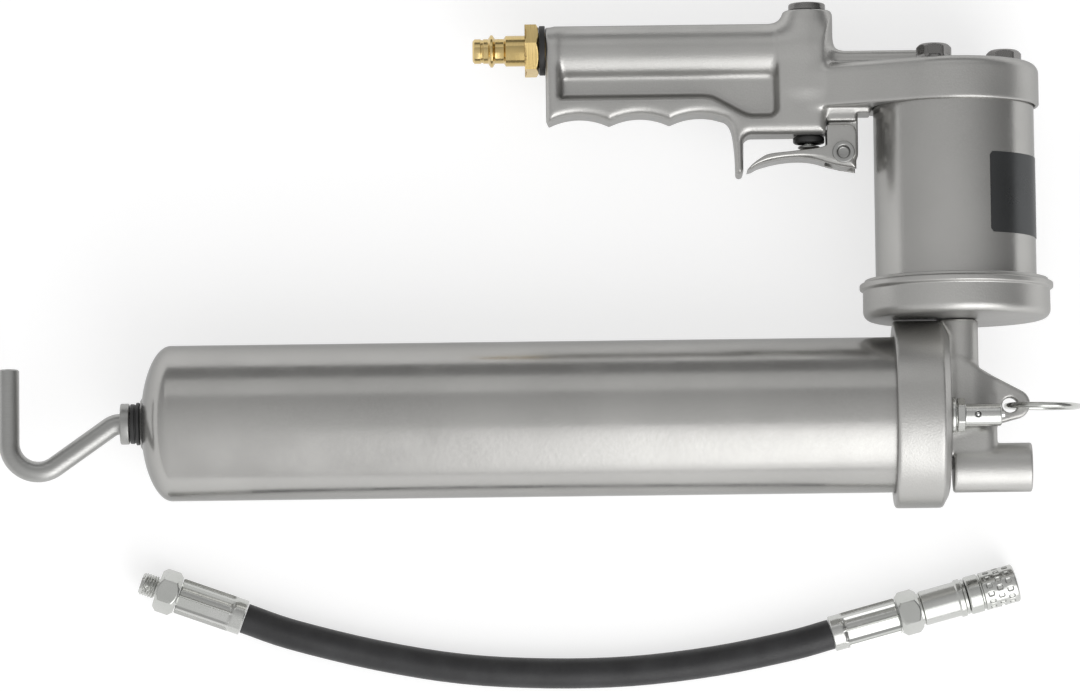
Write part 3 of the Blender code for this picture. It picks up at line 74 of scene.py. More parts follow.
# Running clearance between pieces, distance below which points are one, radius below which a ring is
# a point, and the angle between two faces from which their edge stays sharp.
FIT = 0.3
MERGE = 0.002
POLE_R = 1e-6
SHARP_EDGE = 32.0

# Barrel, rod and what they carry.
BARREL_R = 28.0
BARREL_WALL = 1.6
BARREL_FRONT = -10.6
DOME_START = -283.2
DOME_DEPTH = 11.2
NOSE_X = -294.4
NOSE_R = 8.5
BUSH_END = -298.1
BUSH_FLANGE_R = 7.7
BUSH_SPIGOT_R = 6.0
COLLAR_END = -301.7
ROD_COLLAR_R = 7.4
ROD_R = 3.75
ROD_FRONT = -17.9
HOOK_SLANT = 35.0
HOOK_KINK_R = 7.0
HOOK_BEND_R = 10.5
HOOK_DROP = 16.9
HOOK_TIP_RISE = 37.0

# Grease head.
HEAD_FACE = -3.8
DISC_BACK = -8.8
COLLAR_BACK = -23.4
COLLAR_R = 33.7
SHOULDER_R = 29.0
SHOULDER_DROP = 2.6
NECK_R = 7.5
SPIGOT_R = 6.2
SPIGOT_TOP = 44.0
BLOCK_FRONT = 13.7
BLOCK_TOP = 20.2
BLOCK_BOTTOM = -15.4
BLOCK_HALF = 7.4
BLOCK_CORNER = 5.0
BLOCK_RISE = 4.0
BLOCK_FADE = (-8.0, 6.0)
LUG_HALF = 2.6
LUG_ROOT_HALF = 7.0
LUG_ROOT_RUN = 10.0
LUG_FLAT = 4.0
LUG_HEEL = 6.0
LUG_NOSE = (20.4, 3.3)
LUG_NOSE_R = 5.3
LUG_NOSE_SWEEP = (-68.0, 64.0)
LUG_HOLE = (18.4, 2.9)
LUG_HOLE_R = 2.75
OUTLET_Y = -19.5
OUTLET_R = 8.85
OUTLET_END = 26.0
OUTLET_MOUTH_R = 4.8
OUTLET_MOUTH_DEPTH = 12.4
OUTLET_FLARE = 0.9
OUTLET_ROOT = 6.0
OUTLET_PASSAGE_R = 2.1
CHECK_CHAMBER_R = 3.4
CHECK_SEAT_X = 5.0
PUMP_BORE_R = 4.0
PACKING_R = 5.7
PACKING_BOTTOM = 39.4
BLEED_Y = -1.6
BLEED_Z = 14.3
BLEED_BODY_R = 4.05
BLEED_FLANGE_R = 6.5
BLEED_END = 14.5
BLEED_HOLE_R = 3.3
BLEED_THREAD_R = 3.0
BLEED_NUT_FLATS = 10.8
BLEED_NUT_R = 6.2
BLEED_NUT_SPAN = (2.1, 5.0)
BLEED_ROOM = 7.0
BLEED_PIN_R = 1.2
VENT_X = 6.0
VENT_R = 1.05
VENT_CLEARANCE = 0.15
RING_MEAN_R = 12.95
RING_WIRE_R = 1.05
RING_STEPS = 96
RING_DROOP = math.radians(20.0)
RING_LEAN = math.radians(3.0)

# Air cylinder.
BASE_BOTTOM = 34.1
BASE_FLOOR = 39.8
BASE_TOP = 48.6
BASE_R = 33.8
BASE_CORNER = 3.2
BEAD_R = 34.9
TUBE_R = 29.0
TUBE_WALL = 2.0
TUBE_BOTTOM = 40.1
TUBE_TOP = 112.7
CAP_R = 30.9
CAP_BOTTOM = 110.9
CAP_TOP = 126.6
CAP_EDGE = 3.9
CAP_RIM = 0.9
CAP_RECESS_TOP = 113.9
BOLT_COUNT = 3
BOLT_FIRST_ANGLE = math.radians(114.0)
BOLT_CIRCLE_R = 18.8
BOLT_FLATS = 11.0
BOLT_HEAD = 5.2
BOLT_CROWN_R = 4.4
BOLT_CROWN_DROP = 1.5
BOLT_FLANGE = 1.1
BOLT_SHANK_R = 3.0
BOLT_LENGTH = 17.5

# Handle casting.
GRIP_BACK = -147.2
GRIP_FRONT = -46.4
GRIP_HALF = 10.3
GRIP_EDGE = 3.8
GRIP_DRAFT = 0.03
DUCT_Y = 133.7
DUCT_R = 9.3
DUCT_SPAN = (131.7, 132.6)
CROWN_Y = 132.7
CROWN_R = 9.3
CROWN_HALF = 9.8
FINGER_LINE = 106.4
FINGER_PITCH = 21.8
FINGER_DEPTH = 2.6
FINGER_COUNT = 3
SPUR_X = -77.7
SPUR_HALF = 1.5
SPUR_TIP = 86.8
UNDERSIDE = 101.3
ARM_UNDERSIDE = 108.7
ARM_HALF = 8.3
ARM_END_R = 8.6
RIB_TOP = 131.8
RIB_HALF = 6.5
RIB_END = -8.5
POCKET_BACK = -141.2
POCKET_FRONT = -64.8
POCKET_LOW = 116.4
POCKET_DEEP = 109.0
POCKET_STEP = -88.5
POCKET_WEB = 4.0
POCKET_DRAFT = 0.28
VALVE_X = -52.4
BOSS_R = 8.7
BOSS_TOP = 146.8
BOSS_LOW = 117.5
VALVE_BORE_R = 6.3
VALVE_SEAT = 126.5
VALVE_THROAT_R = 3.2
VALVE_BUSH_R = 4.2
VALVE_BUSH_TOP = 107.3
GUARD_RING_R = 5.7
GUARD_RING_LOW = 98.5
GUARD_RING_ROOF = 100.0
BUTTON_R = 4.0
BUTTON_LOW = 96.1
BUTTON_TOP = 97.6
BUTTON_CLEARANCE = 0.45
INLET_THREAD_R = 6.8
INLET_THREAD_END = -135.9
DUCT_BORE_R = 4.5
STEM_HOLE_R = 2.3
VALVE_CAP_R = 6.7
VALVE_CAP_TOP = 149.6
VALVE_CAP_PLUG_LOW = 140.8
VALVE_CAP_GROOVE = 1.4
VALVE_CAP_DIMPLE = 1.2

# Trigger.
PIVOT = (-40.2, 94.5)
LUG_OUTER_R = 5.4
HANDLE_LUG_HALF = 6.0
EAR_LEDGE = 105.9
LEDGE_HALF = 8.0
LEDGE_BACK = 5.6
EAR_FRONT = 4.8
EAR_RISE = 10.0
EAR_BACK = 6.0
EAR_CORNER = 3.0
FORK_INNER = 6.3
FORK_OUTER = 8.3
FORK_GAP = 1.2
TRIGGER_TIP = -75.1
LEVER_LOW = -7.0
LEVER_EDGE = 0.6
LEVER_UNDER_EDGE = 2.6
PIN_R = 3.0
PIN_HEAD_R = 4.0
PIN_BORE_R = 2.3
PIN_HEAD = 1.0
PIN_HOLLOW = 2.6

# Both edges of the lever, measured from the pin: a crescent that thins to a point.
LEVER_TOP = (
    (-34.9, -6.0), (-32.6, -3.7), (-30.1, -1.9), (-26.5, -0.2), (-17.5, 0.8), (-8.5, 1.9), (-6.0, 2.8),
)
LEVER_UNDER = (
    (4.8, -6.3), (-4.3, -4.5), (-10.0, -2.7), (-15.8, -2.0), (-23.0, -2.5), (-30.2, -4.2), (-33.1, -5.6),
)

# Air inlet plug.
WASHER_R = 9.0
WASHER_BACK = -149.5
PLUG_FLATS = 17.0
PLUG_HEX_FRONT = -149.55
PLUG_HEX_BACK = -153.7
PLUG_HEX_TURN = math.radians(20.0)
PLUG_BODY_R = 5.6
PLUG_BODY_BACK = -162.2
PLUG_NECK_R = 4.5
PLUG_NECK_BACK = -166.2
PLUG_RIDGE_R = 5.9
PLUG_RIDGE_BACK = -167.9
PLUG_TIP = -173.5
PLUG_BORE_R = 3.0
PLUG_THREAD_R = 6.5
PLUG_THREAD_END = -136.2

# Blank label on the air cylinder.
LABEL_LOW = 63.0
LABEL_HIGH = 92.0
LABEL_START = 23.0
LABEL_END = 100.0
LABEL_THICKNESS = 0.2
LABEL_GLUE = 0.03
LABEL_CORNER = 1.2
LABEL_COLUMNS = 40
LABEL_ROWS = 12

# Hose, from the gun's origin in plan, and its fittings.
HOSE_R = 5.5
HOSE_ROUTE = (
    (-257.8, -70.2),
    (-240.4, -76.4),
    (-209.8, -84.2),
    (-179.2, -89.5),
    (-148.6, -91.5),
    (-117.9, -91.1),
    (-87.2, -87.8),
    (-60.0, -82.6),
    (-45.0, -78.6),
)
HOSE_STEPS = 4
FITTING_HEIGHT = 7.0
FERRULE_R = 6.5
CRIMP_COUNT = 8
CRIMP_DEPTH = 0.95
CRIMP_START = 4.2
CRIMP_FADE = 1.8
CRIMP_RIDGE = 0.28
CRIMP_SHARP_EDGE = 40.0
STEM_FERRULE_LENGTH = 25.2
STEM_HEX_LENGTH = 7.8
STEM_HEX_FLATS = 14.0
STEM_HEX_CHAMFER = 1.15
STEM_THREAD_R = 4.3
STEM_THREAD_LENGTH = 6.4
STEM_THREAD_PITCH = 1.0
STEM_THREAD_DEPTH = 0.45
STEM_BORE_R = 1.8
COUPLER_FERRULE_LENGTH = 25.4
COUPLER_HEX_LENGTH = 7.8
COUPLER_BODY_LENGTH = 17.7
COUPLER_SLEEVE_LENGTH = 18.6
COUPLER_R = 7.0
COUPLER_BORE_R = 5.3
COUPLER_MOUTH_R = 4.7
COUPLER_LIP = 1.6
COUPLER_POCKET = 5.0
SLEEVE_GROOVE = (5.0, 5.8)
SLEEVE_GROOVE_DEPTH = 0.7
NOTCH_COUNT = 14
NOTCH_ROWS = 3
NOTCH_START = 8.4
NOTCH_PITCH = 3.6
NOTCH_HALF_WIDTH = 0.8
NOTCH_HALF_LENGTH = 1.0
NOTCH_DEPTH = 0.55

# The room's brightness overhead, how it changes along each axis and falls off at its ends, the key
# light's nested panels (name, left edge, height and brightness) and the strip behind the handle.
ROOM_LEVEL = 0.69
ROOM_SLOPE = (-0.20, -0.28, 0.0)
ROOM_FALL = (0.28, 0.20, 0.0)
KEY_RIGHT = 1.6
KEY_PLACE = (-1.265, 1.087)
KEY_PANELS = (
    ("key_core", 0.22, 0.80, 2.4),
    ("key_middle", 0.05, 1.56, 1.6),
    ("key_edge", -0.05, 2.32, 0.9),
)
BACK_PLACE = (0.0, 1.24, 1.00)
BACK_SIZE = (2.4, 0.78)
BACK_RADIANCE = 0.42
LIGHT_TARGET = (0.0, 0.0, 0.02)

# Floor: its own tone, what it adds to look white, and its half-width and height in metres.
FLOOR_TONE = 0.46
FLOOR_ROUGHNESS = 0.9
FLOOR_GLOW = 0.64
FLOOR_REACH = 4.0
FLOOR_HEIGHT = -0.0004

# Springs, each with the body that carries its fixed end and the joint that presses it.
SPRINGS = {
    "follower_spring": ("barrel", "follower_slide"),
    "return_spring": ("gun", "air_stroke"),
    "valve_spring": ("gun", "valve_lift"),
    "check_spring": ("gun", "check_lift"),
    "coupler_spring": ("gun", "jaw_slide"),
}

CASTING_STEP = 0.5
SMALL_STEP = 0.2
LEVER_STEP = SMALL_STEP * 1.5
MARGIN = 1.5
SMALL_MARGIN = 1.0

X = Vector((1.0, 0.0, 0.0))
Y = Vector((0.0, 1.0, 0.0))
Z = Vector((0.0, 0.0, 1.0))

# The gun's frame, read from the joints' axes.
joints = {joint["name"]: joint for joint in frame["joints"]}
gun_x = Vector(joints["barrel_turn"]["axis"]).normalized()
gun_z = -Vector(joints["trigger_pull"]["axis"]).normalized()
gun_y = gun_z.cross(gun_x)
gun_origin = Vector(joints["barrel_turn"]["pos_m"])


def frame_matrix(along, up, out, origin):
    """Placement of a piece drawn in millimetres along three axes."""
    matrix = Matrix((along, up, out)).transposed().to_4x4()
    matrix.translation = origin
    return matrix


GUN = frame_matrix(gun_x, gun_y, gun_z, gun_origin)


def put(name, data, place=Matrix()):
    """Put a mesh, curve, lamp or camera in the scene."""
    thing = bpy.data.objects.new(name, data)
    thing.matrix_world = place
    bpy.context.scene.collection.objects.link(thing)
    return thing


def put_piece(name, shape, look, nodes, body="gun", place=Matrix()):
    """Put a shape drawn in metres in the scene in place of CAD nodes."""
    shape.materials.clear()
    shape.materials.append(look)
    piece = put(name, shape, place)
    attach(piece, body)
    if nodes:
        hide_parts(*nodes)
    return piece


def add_piece(name, mesh, look, nodes, body="gun", place=GUN):
    """The same for a mesh drawn in millimetres in the gun's frame or another one."""
    mesh.name = name
    mesh.transform(Matrix.Scale(MM, 4))
    return put_piece(name, mesh, look, nodes, body, place)


def mesh_from(verts, faces, sharp=SHARP_EDGE):
    mesh = bpy.data.meshes.new("piece")
    mesh.from_pydata([tuple(v) for v in verts], [], [tuple(f) for f in faces])
    bm = bmesh.new()
    bm.from_mesh(mesh)
    bmesh.ops.remove_doubles(bm, verts=bm.verts, dist=MERGE)
    bmesh.ops.recalc_face_normals(bm, faces=bm.faces)
    bm.to_mesh(mesh)
    bm.free()
    mesh.shade_smooth()
    mesh.set_sharp_from_angle(angle=math.radians(sharp))
    return mesh


def arc(centre, radius, start, end, steps):
    """Points on a circle between two angles in degrees, both ends included."""
    points = []
    for i in range(steps + 1):
        angle = math.radians(start + (end - start) * i / steps)
        points.append((centre[0] + radius * math.cos(angle), centre[1] + radius * math.sin(angle)))
    return points


def filleted(corners, closed=False, steps=5):
    """Round the corners of an outline of (radius, along, fillet) points."""
    points = []
    count = len(corners)
    for i, corner in enumerate(corners):
        here = Vector(corner[:2])
        fillet = corner[2] if len(corner) > 2 else 0.0
        if not fillet or (not closed and i in (0, count - 1)):
            points.append(tuple(here))
            continue
        back = (Vector(corners[i - 1][:2]) - here).normalized()
        ahead = (Vector(corners[(i + 1) % count][:2]) - here).normalized()
        half = back.angle(ahead) / 2
        centre = here + (back + ahead).normalized() * fillet / math.sin(half)
        first = here + back * fillet / math.tan(half) - centre
        last = here + ahead * fillet / math.tan(half) - centre
        turn = first.angle_signed(last)
        for k in range(steps + 1):
            spoke = first.copy()
            spoke.rotate(Matrix.Rotation(-turn * k / steps, 2))
            points.append(tuple(centre + spoke))
    return points


def round_section(radius, along, angle):
    return radius


def skinned(verts, rings, closed=False, capped=False, sharp=SHARP_EDGE):
    """Mesh over rings of vertex numbers, each joined to the next; a ring can be one vertex repeated."""
    pairs = list(zip(rings, rings[1:]))
    if closed:
        pairs.append((rings[-1], rings[0]))
    faces = []
    for ring, following in pairs:
        for corners in zip(ring, ring[1:] + ring[:1], following[1:] + following[:1], following):
            face = list(dict.fromkeys(corners))
            if len(face) > 2:
                faces.append(face)
    if capped:
        faces += [rings[0], rings[-1]]
    return mesh_from(verts, faces, sharp)


def turned(
    outline, axis=X, centre=Vector(), segments=96, section=round_section, closed=False, sharp=SHARP_EDGE,
):
    """Turn (radius, along) points about an axis; a section shapes each ring by angle."""
    side = X if axis == Z else Z
    other = axis.cross(side)
    angles = np.arange(segments) * math.tau / segments
    verts = []
    rings = []
    for radius, along in outline:
        if radius < POLE_R:
            rings.append([len(verts)] * segments)
            verts.append(centre + axis * along)
            continue
        rings.append(list(range(len(verts), len(verts) + segments)))
        radii = section(np.full(segments, float(radius)), along, angles)
        for r, angle in zip(radii, angles):
            spoke = side * math.cos(angle) + other * math.sin(angle)
            verts.append(centre + axis * along + spoke * float(r))
    return skinned(verts, rings, closed, sharp=sharp)


def stations(start, end, step):
    count = max(1, round(abs(end - start) / step))
    return [start + (end - start) * i / count for i in range(count + 1)]


def hex_section(flats, turn=0.0):
    """Flats that cut a turned shape; a turn of none leaves one facing the piece's side direction."""
    def section(radius, along, angle):
        off_flat = (angle - turn + math.pi / 6) % (math.pi / 3) - math.pi / 6
        return np.minimum(radius, flats / 2 / np.cos(off_flat))
    return section


def thread_section(pitch, depth, start, end):
    """A screw thread between two stations."""
    def section(radius, along, angle):
        if not start < along < end:
            return radius
        phase = (along / pitch + angle / math.tau) % 1.0
        return radius - depth * np.abs(2.0 * phase - 1.0)
    return section


def section_change(station, before, after):
    """One section up to a station and another beyond it."""
    def section(radius, along, angle):
        return (before if along <= station else after)(radius, along, angle)
    return section


def crimp_section(count, depth, start, end, fade):
    """Flats pressed between narrow ridges, fading out towards both stations."""
    def section(radius, along, angle):
        share = eased(np.clip(min(along - start, end - along) / fade, 0.0, 1.0))
        across = np.abs((angle * count / math.tau) % 1.0 - 0.5) * 2.0
        flat = eased(np.clip((1.0 - across) / CRIMP_RIDGE, 0.0, 1.0))
        return radius - depth * share * flat
    return section


def hex_outline(bore, flats, start, end, chamfer=0.55):
    """Outline of a nut whose corners are turned off at both ends."""
    corner = flats / math.sqrt(3.0)
    seat = flats / 2 * 0.96
    rise = (corner - seat) * chamfer
    outline = [(bore, start)]
    outline += [(seat + (corner - seat) * i / 8, start + rise * i / 8) for i in range(9)]
    outline += [(seat + (corner - seat) * i / 8, end - rise * i / 8) for i in range(8, -1, -1)]
    outline.append((bore, end))
    return outline


def swept(points, radius, sides=32, closed=False, chamfer=0.5):
    """A round bar along points in one plane, with chamfered ends."""
    path = [Vector(point) for point in points]
    count = len(path)
    normal = Vector()
    for i in range(1, count - 1):
        normal += (path[i] - path[i - 1]).cross(path[i + 1] - path[i])
    normal.normalize()
    stops = []
    for i, here in enumerate(path):
        before = path[i - 1] if closed or i else here
        after = path[(i + 1) % count] if closed or i < count - 1 else here
        along = (after - before).normalized()
        stops.append((here, along, radius))
    if not closed:
        (start, out, _), (end, onward, _) = stops[0], stops[-1]
        stops[0] = (start + out * chamfer, out, radius)
        stops[-1] = (end - onward * chamfer, onward, radius)
        stops = [(start, out, radius - chamfer), *stops, (end, onward, radius - chamfer)]
    verts = []
    for here, along, r in stops:
        across = normal.cross(along)
        for k in range(sides):
            angle = math.tau * k / sides
            verts.append(here + (across * math.cos(angle) + normal * math.sin(angle)) * r)
    rings = [list(range(i * sides, (i + 1) * sides)) for i in range(len(stops))]
    return skinned(verts, rings, closed, capped=not closed)


def smooth_route(points, steps):
    """Points on a smooth curve through the given ones."""
    points = [Vector(point) for point in points]
    padded = [points[0] * 2 - points[1], *points, points[-1] * 2 - points[-2]]
    route = []
    for before, here, after, beyond in zip(padded, padded[1:], padded[2:], padded[3:]):
        for i in range(steps):
            t = i / steps
            route.append(
                here * (2 - 5 * t * t + 3 * t ** 3) / 2
                + after * (t + 4 * t * t - 3 * t ** 3) / 2
                + before * (-t + 2 * t * t - t ** 3) / 2
                + beyond * (-t * t + t ** 3) / 2
            )
    route.append(points[-1])
    return route


def eased(share):
    """A share from 0 to 1 that starts and ends gently."""
    return share * share * (3.0 - 2.0 * share)


# Distance fields, negative inside.
def soft_union(a, b, blend):
    """Both shapes, with a fillet of about blend where they meet."""
    gap = np.maximum(blend - np.abs(a - b), 0.0)
    return np.minimum(a, b) - gap * gap / (4.0 * blend)


def soft_common(a, b, blend):
    """What two shapes share, with its edge rounded by about blend."""
    return -soft_union(-a, -b, blend)


def soft_cut(a, b, blend):
    return soft_common(a, -b, blend)


def rounded_pair(a, b, edge):
    """What two shapes share, with an exact round edge."""
    a = a + edge
    b = b + edge
    outside = np.sqrt(np.maximum(a, 0.0) ** 2 + np.maximum(b, 0.0) ** 2)
    return outside + np.minimum(np.maximum(a, b), 0.0) - edge


def between(values, low, high):
    return np.abs(values - (low + high) / 2) - (high - low) / 2


def bar(across, beside, along, radius, low, high, edge=0.3):
    """A round bar between two stations."""
    return rounded_pair(np.sqrt(across ** 2 + beside ** 2) - radius, between(along, low, high), edge)


def outline_field(points, x, y):
    """Distance to a closed outline in two of the three directions."""
    nearest = np.full(np.broadcast(x, y).shape, 1e9, dtype=np.float32)
    inside = np.zeros(nearest.shape, dtype=bool)
    for (ax, ay), (bx, by) in zip(points, points[1:] + points[:1]):
        ex = bx - ax
        ey = by - ay
        length = ex * ex + ey * ey
        if length < 1e-12:
            continue
        share = np.clip(((x - ax) * ex + (y - ay) * ey) / length, 0.0, 1.0)
        off = (x - ax - share * ex) ** 2 + (y - ay - share * ey) ** 2
        nearest = np.minimum(nearest, off)
        crosses = (ay > y) != (by > y)
        if abs(ey) > 1e-12:
            inside ^= crosses & (x < (y - ay) * ex / ey + ax)
    return np.where(inside, -1.0, 1.0) * np.sqrt(nearest)


def tapered_plan(x, z, big, small, small_x):
    """Distance to the outline around a big circle at the origin and a small one behind it."""
    back = -small_x
    lean = (big - small) / back
    slope = math.sqrt(1.0 - lean * lean)
    side = np.abs(z)
    behind = -x
    station = side * -lean + behind * slope
    flank = side * slope + behind * lean - big
    round_big = np.sqrt(side ** 2 + behind ** 2) - big
    round_small = np.sqrt(side ** 2 + (behind - back) ** 2) - small
    values = np.where(station < 0.0, round_big, flank)
    return np.where(station > slope * back, round_small, values)


def samples(low, high, margin, step):
    """First corner of a grid around a box, and its coordinates as arrays that broadcast together."""
    first = [a - margin for a in low]
    last = [b + margin for b in high]
    axes = [np.arange(a, b + step, step, dtype=np.float32) for a, b in zip(first, last)]
    return first, *np.meshgrid(*axes, indexing="ij", sparse=True)


def cast(values, first, step):
    """Mesh of a field's zero surface, with normals from the field's slope."""
    values = np.ascontiguousarray(values, dtype=np.float32)
    volume = openvdb.FloatGrid(step * 4)
    volume.copyFromArray(np.clip(values, -step * 4, step * 4))
    points, quads = volume.convertToQuads(isovalue=0.0)
    cell = np.clip(np.floor(points).astype(int), 0, np.array(values.shape) - 2)
    part = points - cell
    slopes = np.gradient(values)
    normals = np.zeros_like(points)
    for corner in np.ndindex(2, 2, 2):
        weight = np.prod(np.where(np.array(corner) == 1, part, 1.0 - part), axis=1)
        at = tuple((cell + corner).T)
        for k in range(3):
            normals[:, k] += weight * slopes[k][at]
    normals /= np.maximum(np.linalg.norm(normals, axis=1, keepdims=True), 1e-9)
    mesh = bpy.data.meshes.new("piece")
    mesh.from_pydata((points * step + np.array(first)).tolist(), [], quads[:, ::-1].tolist())
    mesh.shade_smooth()
    face = mesh.polygons[0]
    if face.normal.dot(Vector(normals[face.vertices[0]])) < 0.0:
        mesh.flip_normals()
    mesh.normals_split_custom_set_from_vertices(normals.tolist())
    return mesh


# Materials, with grain given as features to the metre.
FINE_GRAIN = 2600.0
PAINT_CLOUDS = 22.0
PAINT_SCUFFS = 70.0
PLATING_CLOUDS = 60.0
RUBBER_DUST = 90.0


def feed(tree, node, inputs):
    """Set a node's inputs to values or link them to other nodes' outputs."""
    for name, value in inputs.items():
        if isinstance(value, bpy.types.NodeSocket):
            tree.links.new(value, node.inputs[name])
        else:
            node.inputs[name].default_value = value


def add_node(tree, kind, inputs):
    node = tree.nodes.new(f"ShaderNode{kind}")
    feed(tree, node, inputs)
    return node


def new_look(name, metallic):
    """Material with a Principled shader, its node tree and object coordinates."""
    look = bpy.data.materials.new(name)
    look.use_nodes = True
    tree = look.node_tree
    shader = tree.nodes["Principled BSDF"]
    shader.inputs["Metallic"].default_value = metallic
    place = add_node(tree, "TexCoord", {})
    return look, tree, shader, place.outputs["Object"]


def noise(tree, place, scale, detail=3.0, stretch=(1.0, 1.0, 1.0)):
    """Noise with features of about 1 / scale metres, longer where stretch is small."""
    mapping = add_node(tree, "Mapping", {"Vector": place, "Scale": stretch})
    inputs = {"Vector": mapping.outputs["Vector"], "Scale": scale, "Detail": detail}
    return add_node(tree, "TexNoise", inputs).outputs["Fac"]


def ranged(tree, value, low, high, start=0.3, end=0.7):
    """A value between start and end spread over low to high."""
    inputs = {"Value": value, "From Min": start, "From Max": end, "To Min": low, "To Max": high}
    return add_node(tree, "MapRange", inputs).outputs["Result"]


def mixed(tree, factor, first, second):
    """Colour between two, either of them a colour or another node's output."""
    mix = tree.nodes.new("ShaderNodeMix")
    mix.data_type = "RGBA"
    first, second = ((*c, 1.0) if isinstance(c, tuple) else c for c in (first, second))
    feed(tree, mix, {"Factor": factor, 6: first, 7: second})
    return mix.outputs[2]


def maths(tree, operation, first, second, kind="Math", output=0):
    """Result of a maths node."""
    node = add_node(tree, kind, {0: first, 1: second})
    node.operation = operation
    return node.outputs[output]


def bump(tree, height, depth, strength=1.0):
    inputs = {"Height": height, "Distance": depth, "Strength": strength}
    return add_node(tree, "Bump", inputs).outputs["Normal"]


def metal_paint(name, colour, roughness, grain, relief):
    """Silver paint: metal flakes, faint clouds and a fine orange peel."""
    look, tree, shader, place = new_look(name, 0.88)
    dark = tuple(c * 0.86 for c in colour)
    light = tuple(min(1.0, c * 1.10) for c in colour)
    clouds = noise(tree, place, PAINT_CLOUDS, 4.0)
    flakes = noise(tree, place, FINE_GRAIN, 2.0)
    base = mixed(tree, ranged(tree, clouds, 0.0, 1.0), dark, colour)
    base = mixed(tree, ranged(tree, flakes, 0.0, 0.45, 0.35, 0.75), base, light)
    scuffs = noise(tree, place, PAINT_SCUFFS, 6.0)
    feed(tree, shader, {
        "Base Color": base,
        "Roughness": ranged(tree, scuffs, roughness - 0.035, roughness + 0.045),
        "Normal": bump(tree, noise(tree, place, grain, 2.0), relief),
        "Specular Tint": (0.5, 0.5, 0.5, 1.0),
        "Coat Weight": 0.12,
        "Coat Roughness": 0.18,
    })
    return look


def plated_steel(name, colour, roughness, tint, stretch=(1.0, 1.0, 1.0)):
    """Plated or bare steel with drawn or turned marks and faint colour in the plating."""
    look, tree, shader, place = new_look(name, 1.0)
    clouds = noise(tree, place, PLATING_CLOUDS, 4.0)
    marks = noise(tree, place, FINE_GRAIN, 3.0, stretch)
    base = mixed(tree, ranged(tree, clouds, 0.0, 1.0), colour, tint)
    dull = tuple(c * 0.80 for c in colour)
    base = mixed(tree, ranged(tree, marks, 0.0, 0.5, 0.45, 0.8), base, dull)
    rough = ranged(tree, marks, roughness - 0.05, roughness + 0.08)
    feed(tree, shader, {"Base Color": base, "Roughness": rough, "Normal": bump(tree, marks, 0.00002, 0.7)})
    return look


def soft_black(name, colour, roughness, grain, relief):
    """Rubber or plastic: slightly dusty black with a moulded grain."""
    look, tree, shader, place = new_look(name, 0.0)
    dust = noise(tree, place, RUBBER_DUST, 5.0)
    dusty = tuple(c * 1.7 + 0.006 for c in colour)
    base = mixed(tree, ranged(tree, dust, 0.0, 1.0, 0.4, 0.75), colour, dusty)
    texture = noise(tree, place, grain)
    rough = ranged(tree, texture, roughness - 0.06, roughness + 0.08)
    feed(tree, shader, {"Base Color": base, "Roughness": rough, "Normal": bump(tree, texture, relief)})
    return look


cast_paint = metal_paint("cast_silver_paint", (0.485, 0.48, 0.465), 0.36, 1300.0, 0.00006)
tube_paint = metal_paint("tube_silver_paint", (0.46, 0.455, 0.44), 0.22, 500.0, 0.00002)
zinc = plated_steel("bright_zinc", (0.60, 0.60, 0.585), 0.17, (0.54, 0.55, 0.525))
satin_zinc = plated_steel("satin_zinc", (0.41, 0.41, 0.40), 0.34, (0.37, 0.37, 0.36), (0.05, 1.0, 1.0))
polished = plated_steel("polished_steel", (0.80, 0.80, 0.79), 0.12, (0.77, 0.78, 0.78))
black_steel = plated_steel("dark_plated_steel", (0.23, 0.225, 0.22), 0.24, (0.17, 0.165, 0.16))
spring_steel = plated_steel("spring_steel", (0.28, 0.28, 0.29), 0.30, (0.22, 0.22, 0.24))
bare_aluminium = plated_steel("turned_aluminium", (0.70, 0.70, 0.71), 0.28, (0.66, 0.66, 0.68))
brass = plated_steel("turned_brass", (0.69, 0.53, 0.25), 0.14, (0.58, 0.43, 0.18), (1.0, 0.04, 0.04))
hose_rubber = soft_black("hose_rubber", (0.012, 0.012, 0.013), 0.46, 1500.0, 0.00005)
black_plastic = soft_black("black_plastic", (0.018, 0.018, 0.018), 0.42, 1800.0, 0.00003)
nitrile = soft_black("nitrile_rubber", (0.016, 0.016, 0.016), 0.55, 2400.0, 0.00003)
label_grey = metal_paint("blank_label_grey", (0.085, 0.088, 0.09), 0.30, 3000.0, 0.000008)


# Barrel, rod, bush and collar.
def dome_points(radius, depth, nose, steps):
    """Outline of the barrel's dome from its rim to the flat nose."""
    last = math.acos(nose / radius)
    points = []
    for i in range(steps + 1):
        angle = last * i / steps
        points.append((radius * math.cos(angle), DOME_START - depth * math.sin(angle)))
    return points


def build_barrel():
    bush_hole = BUSH_SPIGOT_R + FIT
    inside = BARREL_R - BARREL_WALL
    dome = dome_points(BARREL_R, DOME_DEPTH, NOSE_R + 1.0, 24)
    outline = [(inside, BARREL_FRONT)]
    outline += [(BARREL_R, along) for along in stations(BARREL_FRONT, DOME_START, 45.0)[:-1]]
    outline += dome[:-1]
    outline += filleted([dome[-1], (NOSE_R, NOSE_X, 0.5), (bush_hole, NOSE_X)])
    outline += [(bush_hole, NOSE_X + BARREL_WALL)]
    outline += reversed(dome_points(inside, DOME_DEPTH - BARREL_WALL, NOSE_R, 12))
    mesh = turned(outline, segments=160, closed=True)
    add_piece("barrel_tube", mesh, tube_paint, ["barrel"], "barrel")


